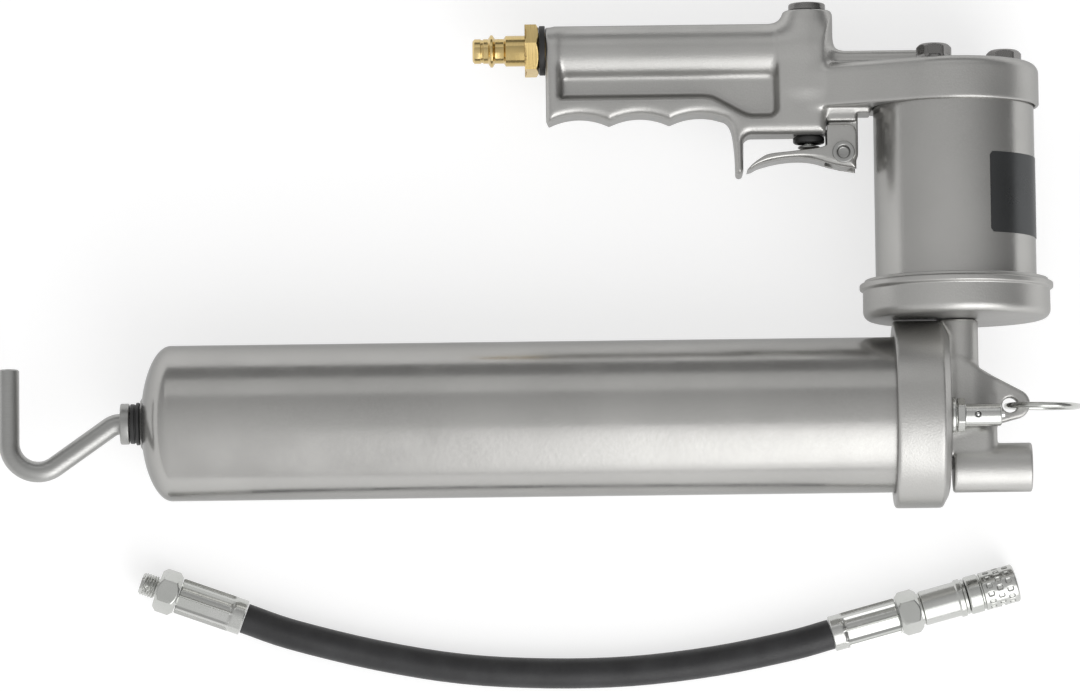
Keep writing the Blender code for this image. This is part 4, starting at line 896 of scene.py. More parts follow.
def build_rod():
    kink = arc((COLLAR_END, -HOOK_KINK_R), HOOK_KINK_R, 90.0, 90.0 + HOOK_SLANT, 8)
    slant = math.radians(HOOK_SLANT)
    bend_y = HOOK_BEND_R - HOOK_DROP
    entry_y = bend_y - HOOK_BEND_R * math.cos(slant)
    entry_x = kink[-1][0] - (kink[-1][1] - entry_y) / math.tan(slant)
    bend_x = entry_x - HOOK_BEND_R * math.sin(slant)
    bend = arc((bend_x, bend_y), HOOK_BEND_R, -90.0 + HOOK_SLANT, -180.0, 24)
    path = [(ROD_FRONT, 0.0), *kink, *bend, (bend_x - HOOK_BEND_R, HOOK_TIP_RISE - HOOK_DROP)]
    mesh = swept([(x, y, 0.0) for x, y in path], ROD_R)
    add_piece("hooked_rod", mesh, satin_zinc, ["follower_rod"], "rod")
    hole = ROD_R + FIT
    outline = filleted([
        (hole, COLLAR_END, 0.3),
        (ROD_COLLAR_R, COLLAR_END, 0.5),
        (ROD_COLLAR_R, BUSH_END - FIT, 0.5),
        (hole, BUSH_END - FIT, 0.3),
    ], closed=True)
    mesh = turned(outline, segments=64, closed=True)
    add_piece("rod_stop_collar", mesh, satin_zinc, ["rod_collar"], "rod")
    middle = (BUSH_END + NOSE_X) / 2
    outline = filleted([
        (hole, BUSH_END, 0.2),
        (BUSH_FLANGE_R - 0.5, BUSH_END, 0.4),
        (BUSH_FLANGE_R - 0.5, middle - 0.5, 0.2),
        (BUSH_FLANGE_R - 0.9, middle, 0.2),
        (BUSH_FLANGE_R, middle + 0.4, 0.3),
        (BUSH_FLANGE_R, NOSE_X - FIT, 0.4),
        (BUSH_SPIGOT_R, NOSE_X - FIT, 0.1),
        (BUSH_SPIGOT_R, NOSE_X + BARREL_WALL, 0.3),
        (hole, NOSE_X + BARREL_WALL, 0.2),
    ], closed=True)
    mesh = turned(outline, segments=64, closed=True)
    add_piece("rod_guide_bush", mesh, black_plastic, ["rod_bush"], "barrel")


# Grease head casting, bleed valve and ring.
def build_grease_head():
    low = (COLLAR_BACK, -COLLAR_R, -COLLAR_R)
    high = (LUG_NOSE[0] + LUG_NOSE_R, SPIGOT_TOP, COLLAR_R)
    first, x, y, z = samples(low, high, MARGIN, CASTING_STEP)
    around = np.sqrt(y ** 2 + z ** 2)
    collar = rounded_pair(around - COLLAR_R, between(x, COLLAR_BACK, HEAD_FACE), 1.0)
    rise = COLLAR_R - SHOULDER_R
    lean = math.hypot(rise, SHOULDER_DROP)
    shoulder = ((around - SHOULDER_R) * SHOULDER_DROP + (x - HEAD_FACE) * rise) / lean
    collar = soft_common(collar, shoulder, 0.8)
    socket = np.maximum(around - BARREL_R - FIT, x - DISC_BACK)
    collar = soft_cut(collar, socket, 0.6)

    neck = bar(x, z, y, NECK_R, 0.0, BASE_BOTTOM - FIT, 0.5)
    spigot = bar(x, z, y, SPIGOT_R, 0.0, SPIGOT_TOP, 0.4)
    inside_disc = (HEAD_FACE + DISC_BACK) / 2
    middle = (inside_disc + BLOCK_FRONT) / 2
    fade = np.clip((y - BLOCK_FADE[0]) / (BLOCK_FADE[1] - BLOCK_FADE[0]), 0.0, 1.0)
    block_half = BLOCK_HALF - (BLOCK_HALF - LUG_HALF) * eased(fade)
    ends = between(x, inside_disc - BLOCK_CORNER, BLOCK_FRONT)
    plan = rounded_pair(ends, np.abs(z) - block_half, np.minimum(block_half, BLOCK_CORNER))
    pump_block = rounded_pair(plan, between(y, BLOCK_BOTTOM, LUG_NOSE[1] + BLOCK_RISE), 1.6)
    nose = arc(LUG_NOSE, LUG_NOSE_R, *LUG_NOSE_SWEEP, 14)
    outline = [(inside_disc, BLOCK_BOTTOM + LUG_HEEL), *nose, (0.0, BLOCK_TOP), (inside_disc, BLOCK_TOP)]
    root = np.clip((LUG_HOLE[0] - LUG_FLAT - x) / LUG_ROOT_RUN, 0.0, 1.0)
    lug_half = LUG_HALF + (LUG_ROOT_HALF - LUG_HALF) * eased(root)
    lug = rounded_pair(outline_field(outline, x, y), np.abs(z) - lug_half, 1.0)
    outlet = bar(y - OUTLET_Y, z, x, OUTLET_R, middle - OUTLET_ROOT, OUTLET_END, 0.7)

    body = neck
    for shape, fillet in ((lug, 1.6), (pump_block, 1.8), (outlet, 0.8)):
        body = soft_union(body, shape, fillet)
    body = np.maximum(body, inside_disc - x)
    body = soft_union(collar, body, 2.0)
    body = np.minimum(body, spigot)

    # Bores, each run a little past the face or the bore that it opens into.
    mouth_floor = OUTLET_END - OUTLET_MOUTH_DEPTH
    mouth = bar(y - OUTLET_Y, z, x, OUTLET_MOUTH_R, mouth_floor, OUTLET_END + 3.0)
    flare = np.sqrt((y - OUTLET_Y) ** 2 + z ** 2) - OUTLET_MOUTH_R - (x - OUTLET_END + OUTLET_FLARE)
    mouth = np.minimum(mouth, np.maximum(flare, OUTLET_END - OUTLET_FLARE - x))
    chamber = bar(y - OUTLET_Y, z, x, CHECK_CHAMBER_R, CHECK_SEAT_X, mouth_floor + 1.0)
    passage = bar(y - OUTLET_Y, z, x, OUTLET_PASSAGE_R, 0.0, CHECK_SEAT_X + 1.0)
    pump = bar(x, z, y, PUMP_BORE_R, OUTLET_Y, SPIGOT_TOP + 3.0)
    packing = bar(x, z, y, PACKING_R, PACKING_BOTTOM - FIT, SPIGOT_TOP + 3.0)
    hole = bar(x - LUG_HOLE[0], y - LUG_HOLE[1], z, LUG_HOLE_R, -LUG_ROOT_HALF - 2.0, LUG_ROOT_HALF + 2.0)
    bleed = bar(y - BLEED_Y, z - BLEED_Z, x, BLEED_HOLE_R, DISC_BACK - 3.0, HEAD_FACE + 3.0)
    for cut in (mouth, chamber, passage, pump, packing, hole, bleed):
        body = soft_cut(body, cut, 0.7)
    mesh = cast(body, first, CASTING_STEP)
    add_piece("grease_head_casting", mesh, cast_paint, ["grease_head"])


def build_bleed_valve():
    start = HEAD_FACE + FIT
    low = (DISC_BACK, -BLEED_ROOM, -BLEED_ROOM)
    high = (BLEED_END, BLEED_ROOM, BLEED_ROOM)
    first, x, y, z = samples(low, high, SMALL_MARGIN, SMALL_STEP)
    body = bar(y, z, x, BLEED_BODY_R, start, BLEED_END, 0.6)
    flange = bar(y, z, x, BLEED_FLANGE_R, start, start + 1.6, 0.5)
    groove = bar(y, z, x, BLEED_FLANGE_R - 1.8, start, start + 3.0, 0.2)
    turn = np.arctan2(y, z)
    off_flat = (turn + math.pi / 6) % (math.pi / 3) - math.pi / 6
    nut_start, nut_end = (start + station for station in BLEED_NUT_SPAN)
    nut = np.sqrt(y ** 2 + z ** 2) * np.cos(off_flat) - BLEED_NUT_FLATS / 2
    nut = rounded_pair(nut, between(x, nut_start, nut_end), 0.3)
    nut = soft_common(nut, bar(y, z, x, BLEED_NUT_R, nut_start - 0.5, nut_end + 0.4, 1.0), 0.4)
    thread = bar(y, z, x, BLEED_THREAD_R, DISC_BACK, start + 1.0, 0.2)
    valve = soft_union(np.minimum(np.minimum(body, thread), groove), soft_union(flange, nut, 0.2), 0.3)
    pin_bore = np.sqrt(y ** 2 + z ** 2) - BLEED_PIN_R - FIT
    vent = np.maximum(np.hypot(x - VENT_X, y) - VENT_R, -z)
    valve = soft_cut(soft_cut(valve, pin_bore, 0.3), vent, 0.3)
    mesh = cast(valve, first, SMALL_STEP)
    place = GUN @ Matrix.Translation(Vector((0.0, BLEED_Y, BLEED_Z)) * MM)
    add_piece("bleed_valve_body", mesh, zinc, ["bleed_valve"], place=place)
    ball_r = VENT_R - VENT_CLEARANCE
    outline = arc((0.0, BLEED_BODY_R - ball_r), ball_r, -90.0, 90.0, 10)
    outline = [(0.0, outline[0][1]), *outline[1:-1], (0.0, outline[-1][1])]
    mesh = turned(outline, Z, X * VENT_X, 24)
    add_piece("vent_ball", mesh, polished, [], place=place)


def build_ring():
    reach = X * math.cos(RING_DROOP) - Z * math.sin(RING_DROOP)
    rise = X * math.sin(RING_DROOP) + Z * math.cos(RING_DROOP)
    rise = rise * math.cos(RING_LEAN) - Y * math.sin(RING_LEAN)
    centre = Vector((*LUG_HOLE, 0.0)) + reach * RING_MEAN_R
    points = []
    for i in range(RING_STEPS):
        angle = math.tau * i / RING_STEPS
        points.append(centre + (reach * math.cos(angle) + rise * math.sin(angle)) * RING_MEAN_R)
    mesh = swept(points, RING_WIRE_R, 24, closed=True)
    add_piece("hanging_ring", mesh, zinc, ["hang_ring"], "hang_ring")


# Air cylinder, its base cup and the bolts on its cap.
def build_air_cylinder():
    bore = TUBE_R + FIT
    cup = filleted([
        (SPIGOT_R + FIT, BASE_BOTTOM),
        (BASE_R, BASE_BOTTOM, BASE_CORNER),
        (BASE_R - 0.1, BASE_TOP - 4.1, 0.5),
        (BEAD_R, BASE_TOP - 3.4, 0.6),
        (BEAD_R, BASE_TOP - 1.5, 0.7),
        (BEAD_R - 1.5, BASE_TOP - 1.1, 0.3),
        (BEAD_R - 1.9, BASE_TOP, 0.5),
        (bore, BASE_TOP, 0.3),
        (bore, BASE_FLOOR, 0.3),
        (SPIGOT_R + FIT, BASE_FLOOR),
    ], closed=True, steps=8)
    mesh = turned(cup, Y, segments=144, closed=True)
    add_piece("cylinder_base_cup", mesh, cast_paint, ["cylinder_base"])
    inside = TUBE_R - TUBE_WALL
    tube = [(inside, TUBE_BOTTOM), (TUBE_R, TUBE_BOTTOM)]
    tube += [(TUBE_R, y) for y in stations(TUBE_BOTTOM, TUBE_TOP, 12.0)[1:]]
    tube += [(inside, TUBE_TOP)]
    mesh = turned(tube, Y, segments=144, closed=True)
    add_piece("air_tube", mesh, tube_paint, ["air_cylinder"])


def build_label():
    """A blank label that wraps part of the way round the air cylinder."""
    width = TUBE_R * math.radians(LABEL_END - LABEL_START)
    column = LABEL_ROWS + 1
    sheet = (LABEL_COLUMNS + 1) * column
    verts = []
    faces = []
    for layer in (TUBE_R + LABEL_GLUE, TUBE_R + LABEL_THICKNESS):
        for i in range(LABEL_COLUMNS + 1):
            share = i / LABEL_COLUMNS
            angle = math.radians(LABEL_START + (LABEL_END - LABEL_START) * share)
            from_end = min(min(share, 1.0 - share) * width, LABEL_CORNER)
            inset = LABEL_CORNER - math.sqrt(LABEL_CORNER ** 2 - (LABEL_CORNER - from_end) ** 2)
            for y in np.linspace(LABEL_LOW + inset, LABEL_HIGH - inset, column):
                verts.append((layer * math.sin(angle), y, layer * math.cos(angle)))
    for i in range(LABEL_COLUMNS):
        for k in range(LABEL_ROWS):
            a = i * column + k
            quad = (a, a + 1, a + column + 1, a + column)
            faces.append(quad)
            faces.append(tuple(sheet + v for v in reversed(quad)))
    rim = [i * column for i in range(LABEL_COLUMNS)]
    rim += [LABEL_COLUMNS * column + k for k in range(LABEL_ROWS)]
    rim += [i * column + LABEL_ROWS for i in range(LABEL_COLUMNS, 0, -1)]
    rim += list(range(LABEL_ROWS, 0, -1))
    for a, b in zip(rim, rim[1:] + rim[:1]):
        faces.append((a, b, sheet + b, sheet + a))
    mesh = mesh_from(verts, faces)
    add_piece("blank_label", mesh, label_grey, [])


def bolt_places():
    places = []
    for i in range(BOLT_COUNT):
        angle = BOLT_FIRST_ANGLE + math.tau * i / BOLT_COUNT
        places.append(Vector((math.cos(angle), 0.0, math.sin(angle))) * BOLT_CIRCLE_R)
    return places


def build_bolts():
    low = CAP_TOP + FIT
    top = low + BOLT_HEAD
    end = low - BOLT_LENGTH
    corner = BOLT_FLATS / math.sqrt(3.0)
    flange_r = corner + 0.2
    outline = [(0.0, top)]
    for k in range(9):
        crown_r = BOLT_CROWN_R + (corner - BOLT_CROWN_R) * k / 8
        outline.append((crown_r, top - BOLT_CROWN_DROP * (k / 8) ** 1.6))
    outline += [(corner, low + BOLT_FLANGE), (flange_r, low + BOLT_FLANGE), (flange_r, low)]
    outline += [(BOLT_SHANK_R, low), (BOLT_SHANK_R, end + 0.3), (BOLT_SHANK_R - 0.5, end), (0.0, end)]
    section = section_change(low + BOLT_FLANGE / 2, round_section, hex_section(BOLT_FLATS))
    for i, place in enumerate(bolt_places(), start=1):
        mesh = turned(outline, Y, place, 96, section)
        add_piece(f"cap_bolt_{i}", mesh, black_steel, [f"head_bolt_{i}"])


# Handle casting.
def grip_outline():
    """Side view of the grip, above its crown and down to the finger grooves and the spur."""
    half = FINGER_PITCH / 2
    groove_r = (half ** 2 + FINGER_DEPTH ** 2) / (2 * FINGER_DEPTH)
    sweep = math.degrees(math.asin(half / groove_r))
    above = BOSS_TOP + 10.0
    points = [(GRIP_FRONT, above), (GRIP_BACK, above), (GRIP_BACK, FINGER_LINE + 2.0)]
    first_cusp = GRIP_BACK + 1.0
    for i in range(FINGER_COUNT):
        centre = (first_cusp + half + FINGER_PITCH * i, FINGER_LINE + FINGER_DEPTH - groove_r)
        last = -sweep if i < FINGER_COUNT - 1 else 12.0 - sweep
        points += arc(centre, groove_r, 90.0 + sweep, 90.0 + last, 14)[1 if i else 0:]
    shoulder = SPUR_X - SPUR_HALF
    run = points[-1][0] - shoulder
    fall = points[-1][1] - UNDERSIDE
    bends = [
        points[-1],
        (shoulder + run * 0.45, UNDERSIDE + fall * 0.80),
        (shoulder + run * 0.15, UNDERSIDE + fall * 0.25),
        (shoulder, UNDERSIDE - 6.0),
        (shoulder + 0.2, SPUR_TIP + SPUR_HALF),
    ]
    points += [tuple(p) for p in smooth_route(bends, 6)[1:]]
    points += arc((SPUR_X, SPUR_TIP + SPUR_HALF * 0.9), SPUR_HALF * 0.9, 180.0, 360.0, 8)
    points += arc((SPUR_X + SPUR_HALF + 3.0, UNDERSIDE - 3.0), 3.0, 180.0, 90.0, 6)
    points += [(GRIP_FRONT, UNDERSIDE)]
    return points


def pocket_outline():
    """Side view of the recess in each side of the grip; the duct's round closes it at the top."""
    fall = POCKET_LOW - POCKET_DEEP
    above = BOSS_TOP + 10.0
    bends = [
        (POCKET_STEP - 2.0, POCKET_LOW),
        (POCKET_STEP + fall * 0.25, POCKET_LOW - fall * 0.10),
        (POCKET_STEP + fall, (POCKET_LOW + POCKET_DEEP) / 2),
        (POCKET_STEP + fall * 1.75, POCKET_DEEP + fall * 0.10),
        (POCKET_STEP + fall * 2.1, POCKET_DEEP),
    ]
    return [
        (POCKET_BACK, above),
        (POCKET_BACK, POCKET_LOW),
        *[tuple(p) for p in smooth_route(bends, 5)],
        *arc((POCKET_FRONT - 2.0, POCKET_DEEP + 2.0), 2.0, -90.0, 0.0, 4),
        (POCKET_FRONT, above),
    ]


def build_handle():
    low = (GRIP_BACK, SPUR_TIP, -CAP_R)
    high = (CAP_R, BOSS_TOP, CAP_R)
    first, x, y, z = samples(low, high, MARGIN, CASTING_STEP)
    side = np.abs(z)

    # Grip: the outline's slab under a round crown, its flanks drafted a little.
    slab = rounded_pair(outline_field(grip_outline(), x, y), side - GRIP_HALF - 0.3, GRIP_EDGE)
    flank = side - (CROWN_HALF - CROWN_R) - GRIP_DRAFT * np.maximum(CROWN_Y - y, 0.0)
    rise = y - CROWN_Y
    crown = np.sqrt(np.maximum(flank, 0.0) ** 2 + np.maximum(rise, 0.0) ** 2)
    crown = crown + np.minimum(np.maximum(flank, rise), 0.0) - CROWN_R
    grip = soft_common(slab, crown, 0.8)
    recess = outline_field(pocket_outline(), x, y) - POCKET_DRAFT * (side - POCKET_WEB)
    recess = soft_common(recess, POCKET_WEB - side, 1.6)
    grip = soft_cut(grip, recess, 1.5)
    duct = bar(between(y, *DUCT_SPAN).clip(0.0), z, x, DUCT_R, GRIP_BACK + 3.0, VALVE_X, 0.5)
    grip = soft_union(grip, duct, 1.8)

    # Boss, arm, cap, rib and the trigger's lug.
    boss = bar(x - VALVE_X, z, y, BOSS_R, BOSS_LOW, BOSS_TOP, 0.9)
    plan = tapered_plan(x, z, CAP_R, ARM_END_R, GRIP_FRONT - 4.0)
    cap = np.maximum(rounded_pair(plan, y - CAP_TOP, CAP_EDGE), rounded_pair(plan, CAP_BOTTOM - y, CAP_RIM))
    recess = np.maximum(np.sqrt(x ** 2 + z ** 2) - TUBE_R - FIT, y - CAP_RECESS_TOP)
    cap = soft_cut(cap, recess, 0.6)
    arm_length = between(x, GRIP_FRONT - 6.0, -TUBE_R - 1.2)
    arm_slab = np.maximum(arm_length, between(y, ARM_UNDERSIDE, CAP_TOP - CAP_EDGE))
    arm = rounded_pair(arm_slab, side - ARM_HALF, 1.5)
    rib_end = [(RIB_END - 4.0, RIB_TOP), (RIB_END + 5.0, CAP_TOP - CAP_EDGE), (RIB_END, BOSS_LOW)]
    rib_outline = [(VALVE_X - BOSS_R, BOSS_LOW), (VALVE_X - BOSS_R, RIB_TOP), *rib_end]
    rib = rounded_pair(outline_field(rib_outline, x, y), side - RIB_HALF, 2.6)
    pivot_x, pivot_y = PIVOT
    lug_outline = [*arc(PIVOT, LUG_OUTER_R, 180.0, 360.0, 16), (pivot_x + LUG_OUTER_R, BOSS_LOW),
                   (pivot_x - LUG_OUTER_R, BOSS_LOW)]
    lug = rounded_pair(outline_field(lug_outline, x, y), side - HANDLE_LUG_HALF, 0.6)

    ledge_length = between(x, pivot_x - LEDGE_BACK, pivot_x + EAR_FRONT)
    ledge = np.maximum(ledge_length, between(y, EAR_LEDGE, ARM_UNDERSIDE + 2.0))
    ledge = rounded_pair(ledge, side - LEDGE_HALF, 0.8)
    body = soft_union(grip, soft_union(cap, arm, 1.5), 2.4)
    for shape, fillet in ((rib, 3.0), (boss, 6.0), (lug, 1.0), (ledge, 0.8)):
        body = soft_union(body, shape, fillet)

    # Bores for the valve, the air plug, the bolts and the trigger's pin.
    valve = [
        bar(x - VALVE_X, z, y, VALVE_BUSH_R + FIT, UNDERSIDE - 8.0, VALVE_BUSH_TOP),
        bar(x - VALVE_X, z, y, VALVE_THROAT_R, VALVE_BUSH_TOP - 1.0, VALVE_SEAT + 1.0),
        bar(x - VALVE_X, z, y, VALVE_BORE_R, VALVE_SEAT, BOSS_TOP + 5.0),
    ]
    inlet = [
        bar(y - DUCT_Y, z, x, INLET_THREAD_R, GRIP_BACK - 5.0, INLET_THREAD_END),
        bar(y - DUCT_Y, z, x, DUCT_BORE_R, INLET_THREAD_END - 1.0, VALVE_X),
    ]
    pin = bar(x - pivot_x, y - pivot_y, z, PIN_R + FIT, -2 * FORK_OUTER, 2 * FORK_OUTER)
    bolts = [
        bar(x - place.x, z - place.z, y, BOLT_SHANK_R + FIT, CAP_BOTTOM - 5.0, CAP_TOP + 5.0)
        for place in bolt_places()
    ]
    for cut in (*valve, *inlet, pin, *bolts):
        body = soft_cut(body, cut, 0.6)
    mesh = cast(body, first, CASTING_STEP)
    add_piece("handle_body", mesh, cast_paint, ["handle_casting"])


def build_valve():
    plug_r = VALVE_BORE_R - FIT
    groove_low = BOSS_TOP - 3.0
    groove_high = groove_low + 2.2
    outline = filleted([
        (0.0, VALVE_CAP_TOP - VALVE_CAP_DIMPLE),
        (2.6, VALVE_CAP_TOP - VALVE_CAP_DIMPLE, 0.2),
        (3.0, VALVE_CAP_TOP, 0.2),
        (VALVE_CAP_R, VALVE_CAP_TOP, 0.8),
        (VALVE_CAP_R, BOSS_TOP + FIT, 0.2),
        (plug_r, BOSS_TOP + FIT),
        (plug_r, groove_high),
        (plug_r - VALVE_CAP_GROOVE, groove_high),
        (plug_r - VALVE_CAP_GROOVE, groove_low),
        (plug_r, groove_low),
        (plug_r, VALVE_CAP_PLUG_LOW),
        (0.0, VALVE_CAP_PLUG_LOW),
    ])
    mesh = turned(outline, Y, X * VALVE_X, 72)
    add_piece("valve_screw_cap", mesh, black_steel, ["valve_cap"])
    room = BUTTON_R + BUTTON_CLEARANCE
    outline = filleted([
        (STEM_HOLE_R, GUARD_RING_ROOF),
        (room, GUARD_RING_ROOF),
        (room, GUARD_RING_LOW, 0.3),
        (GUARD_RING_R, GUARD_RING_LOW, 0.9),
        (GUARD_RING_R, UNDERSIDE - 0.15, 0.9),
        (VALVE_BUSH_R, UNDERSIDE - 0.15),
        (VALVE_BUSH_R, VALVE_BUSH_TOP - FIT, 0.2),
        (STEM_HOLE_R, VALVE_BUSH_TOP - FIT, 0.2),
    ], closed=True)
    mesh = turned(outline, Y, X * VALVE_X, 64, closed=True)
    add_piece("valve_guide_bush", mesh, black_plastic, ["valve_bush"])
    outline = filleted([
        (0.0, BUTTON_LOW),
        (1.6, BUTTON_LOW, 1.0),
        (BUTTON_R, BUTTON_LOW + 0.8, 0.4),
        (BUTTON_R, BUTTON_TOP, 0.3),
        (0.0, BUTTON_TOP),
    ])
    mesh = turned(outline, Y, X * VALVE_X, 48)
    add_piece("stem_button", mesh, satin_zinc, [], "valve")


def build_trigger():
    pivot_x, pivot_y = PIVOT
    front = pivot_x + EAR_FRONT
    ear_top = pivot_y + EAR_RISE
    top, under = (
        [(pivot_x + point.x, pivot_y + point.y) for point in smooth_route(edge, 5)]
        for edge in (LEVER_TOP, LEVER_UNDER)
    )
    corner = arc((front - EAR_CORNER, ear_top - EAR_CORNER), EAR_CORNER, 0.0, 90.0, 6)
    outline = [*top, (pivot_x - EAR_BACK, ear_top), *reversed(corner), *under]
    low = (TRIGGER_TIP, pivot_y + LEVER_LOW, -FORK_OUTER)
    high = (front, ear_top, FORK_OUTER)
    first, x, y, z = samples(low, high, SMALL_MARGIN, LEVER_STEP)
    side = np.abs(z)
    middle = (np.interp(x, *zip(*top)) + np.interp(x, *zip(*reversed(under)))) / 2
    share = np.clip((middle - y) / 2.0 + 0.5, 0.0, 1.0)
    edge = LEVER_EDGE + (LEVER_UNDER_EDGE - LEVER_EDGE) * share
    lever = rounded_pair(outline_field(outline, x, y), side - FORK_OUTER, edge)
    slot = np.maximum(side - FORK_INNER, pivot_x - LUG_OUTER_R - FORK_GAP - x)
    lever = soft_cut(lever, slot, 0.5)
    lever = soft_cut(lever, np.sqrt((x - pivot_x) ** 2 + (y - pivot_y) ** 2) - PIN_R - FIT, 0.4)
    mesh = cast(lever, first, LEVER_STEP)
    add_piece("trigger_lever", mesh, tube_paint, ["trigger"], "trigger")
    inner = FORK_OUTER + FIT
    outer = inner + PIN_HEAD
    web = outer - PIN_HOLLOW
    pin = filleted([
        (0.0, -web),
        (PIN_BORE_R, -web, 0.8),
        (PIN_BORE_R, -outer, 0.5),
        (PIN_HEAD_R, -outer, 0.45),
        (PIN_HEAD_R, -inner, 0.15),
        (PIN_R, -inner),
        (PIN_R, inner),
        (PIN_HEAD_R, inner, 0.15),
        (PIN_HEAD_R, outer, 0.45),
        (PIN_BORE_R, outer, 0.5),
        (PIN_BORE_R, web, 0.8),
        (0.0, web),
    ])
    mesh = turned(pin, Z, Vector((*PIVOT, 0.0)), 48)
    add_piece("hollow_trigger_pin", mesh, satin_zinc, ["trigger_pin"])


# Brass air plug and its washer.
def build_inlet():
    axis_at = Vector((0.0, DUCT_Y, 0.0))
    nut = hex_outline(PLUG_BODY_R, PLUG_FLATS, PLUG_HEX_FRONT, PLUG_HEX_BACK)
    nut = [(r, PLUG_HEX_FRONT - abs(a - PLUG_HEX_FRONT)) for r, a in nut]
    tip = filleted([
        (PLUG_BODY_R, PLUG_HEX_BACK),
        (PLUG_BODY_R, PLUG_BODY_BACK + 0.7, 0.3),
        (PLUG_NECK_R, PLUG_BODY_BACK, 0.3),
        (PLUG_NECK_R, PLUG_NECK_BACK + 0.9, 0.3),
        (PLUG_RIDGE_R, PLUG_NECK_BACK, 0.35),
        (PLUG_RIDGE_R, PLUG_RIDGE_BACK + 0.9, 0.35),
        (PLUG_NECK_R, PLUG_RIDGE_BACK, 0.3),
        (PLUG_NECK_R, PLUG_RIDGE_BACK - 1.6, 0.2),
        (PLUG_NECK_R - 0.3, PLUG_RIDGE_BACK - 1.9, 0.1),
        (PLUG_NECK_R - 0.3, PLUG_RIDGE_BACK - 2.4, 0.1),
        (PLUG_NECK_R, PLUG_RIDGE_BACK - 2.7, 0.2),
        (PLUG_NECK_R, PLUG_TIP + 0.7, 0.3),
        (PLUG_NECK_R - 0.8, PLUG_TIP, 0.3),
        (PLUG_BORE_R, PLUG_TIP, 0.3),
        (PLUG_BORE_R, PLUG_THREAD_END),
    ])
    outline = [(PLUG_BORE_R, PLUG_THREAD_END), (PLUG_THREAD_R, PLUG_THREAD_END)]
    outline += [(PLUG_THREAD_R, PLUG_HEX_FRONT)]
    outline += nut[1:-1]
    outline += tip
    flats = hex_section(PLUG_FLATS, PLUG_HEX_TURN)
    mesh = turned(outline, X, axis_at, 108, flats)
    add_piece("brass_air_plug", mesh, brass, ["inlet_plug"])
    hole = PLUG_THREAD_R + FIT
    front = GRIP_BACK - 0.05
    washer = filleted([
        (hole, WASHER_BACK, 0.3),
        (WASHER_R, WASHER_BACK, 0.5),
        (WASHER_R, front, 0.3),
        (hole, front, 0.3),
    ], closed=True)
    mesh = turned(washer, X, axis_at, 64, closed=True)
    add_piece("sealing_washer", mesh, nitrile, ["inlet_washer"])


# Springs.
def build_springs():
    """Coils drawn as their CAD nodes are, each carried by the body that holds its fixed end."""
    springs = {}
    for node, (body, joint) in SPRINGS.items():
        mesh = frame["nodes"][node].data.copy()
        mesh.shade_smooth()
        coil = put_piece(f"{node}_coil", mesh, spring_steel, [node], body)
        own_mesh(coil)
        springs[node] = coil
    return springs


# Hose and its fittings.
def hose_points():
    """Centreline of the hose on the floor, in metres."""
    ground = Vector((gun_origin.x, gun_origin.y, 0.0))
    last = len(HOSE_ROUTE) - 1
    points = []
    for i, (x, y) in enumerate(HOSE_ROUTE):
        height = FITTING_HEIGHT if min(i, last - i) < 2 else HOSE_R
        points.append(ground + Vector((x, y, height)) * MM)
    return smooth_route(points, HOSE_STEPS), points


def fitting_frame(start, behind):
    """Frame at a hose end, X pointing out of the hose and Z up."""
    along = (start - behind).normalized()
    return frame_matrix(along, Z.cross(along), Z, start)


def crimped(length):
    """Ferrule pressed onto the hose: a round lip, then flats between ridges."""
    outline = [(0.0, FIT), (HOSE_R + 0.2, FIT), (FERRULE_R - 0.3, FIT), (FERRULE_R, FIT + 0.3)]
    outline += [(FERRULE_R, a) for a in stations(FIT + 0.6, length - 0.4, 0.5)]
    outline += [(FERRULE_R - 0.3, length), (0.0, length)]
    section = crimp_section(CRIMP_COUNT, CRIMP_DEPTH, CRIMP_START, length + 1.5, CRIMP_FADE)
    return turned(outline, X, segments=160, section=section, sharp=CRIMP_SHARP_EDGE)


def add_fitting(name, mesh, node, place):
    return add_piece(name, mesh, zinc, [node], place=place)


def build_stem(place):
    mesh = crimped(STEM_FERRULE_LENGTH)
    ferrule = add_fitting("crimped_stem_ferrule", mesh, "stem_ferrule", place)
    start = STEM_FERRULE_LENGTH + FIT
    hex_end = start + STEM_HEX_LENGTH
    end = hex_end + STEM_THREAD_LENGTH
    outline = hex_outline(STEM_BORE_R, STEM_HEX_FLATS, start, hex_end, STEM_HEX_CHAMFER)[:-1]
    outline += [(STEM_THREAD_R - 0.9, hex_end), (STEM_THREAD_R - 0.9, hex_end + 0.6)]
    outline += [(STEM_THREAD_R, a) for a in stations(hex_end + 0.7, end - 0.7, 0.12)]
    outline += [(STEM_THREAD_R - 0.8, end), (STEM_BORE_R, end)]
    thread = thread_section(STEM_THREAD_PITCH, STEM_THREAD_DEPTH, hex_end + 0.65, end - 0.2)
    section = section_change(hex_end, hex_section(STEM_HEX_FLATS), thread)
    mesh = turned(outline, X, segments=96, section=section, closed=True)
    return [ferrule, add_fitting("threaded_stem", mesh, "hose_stem", place)]


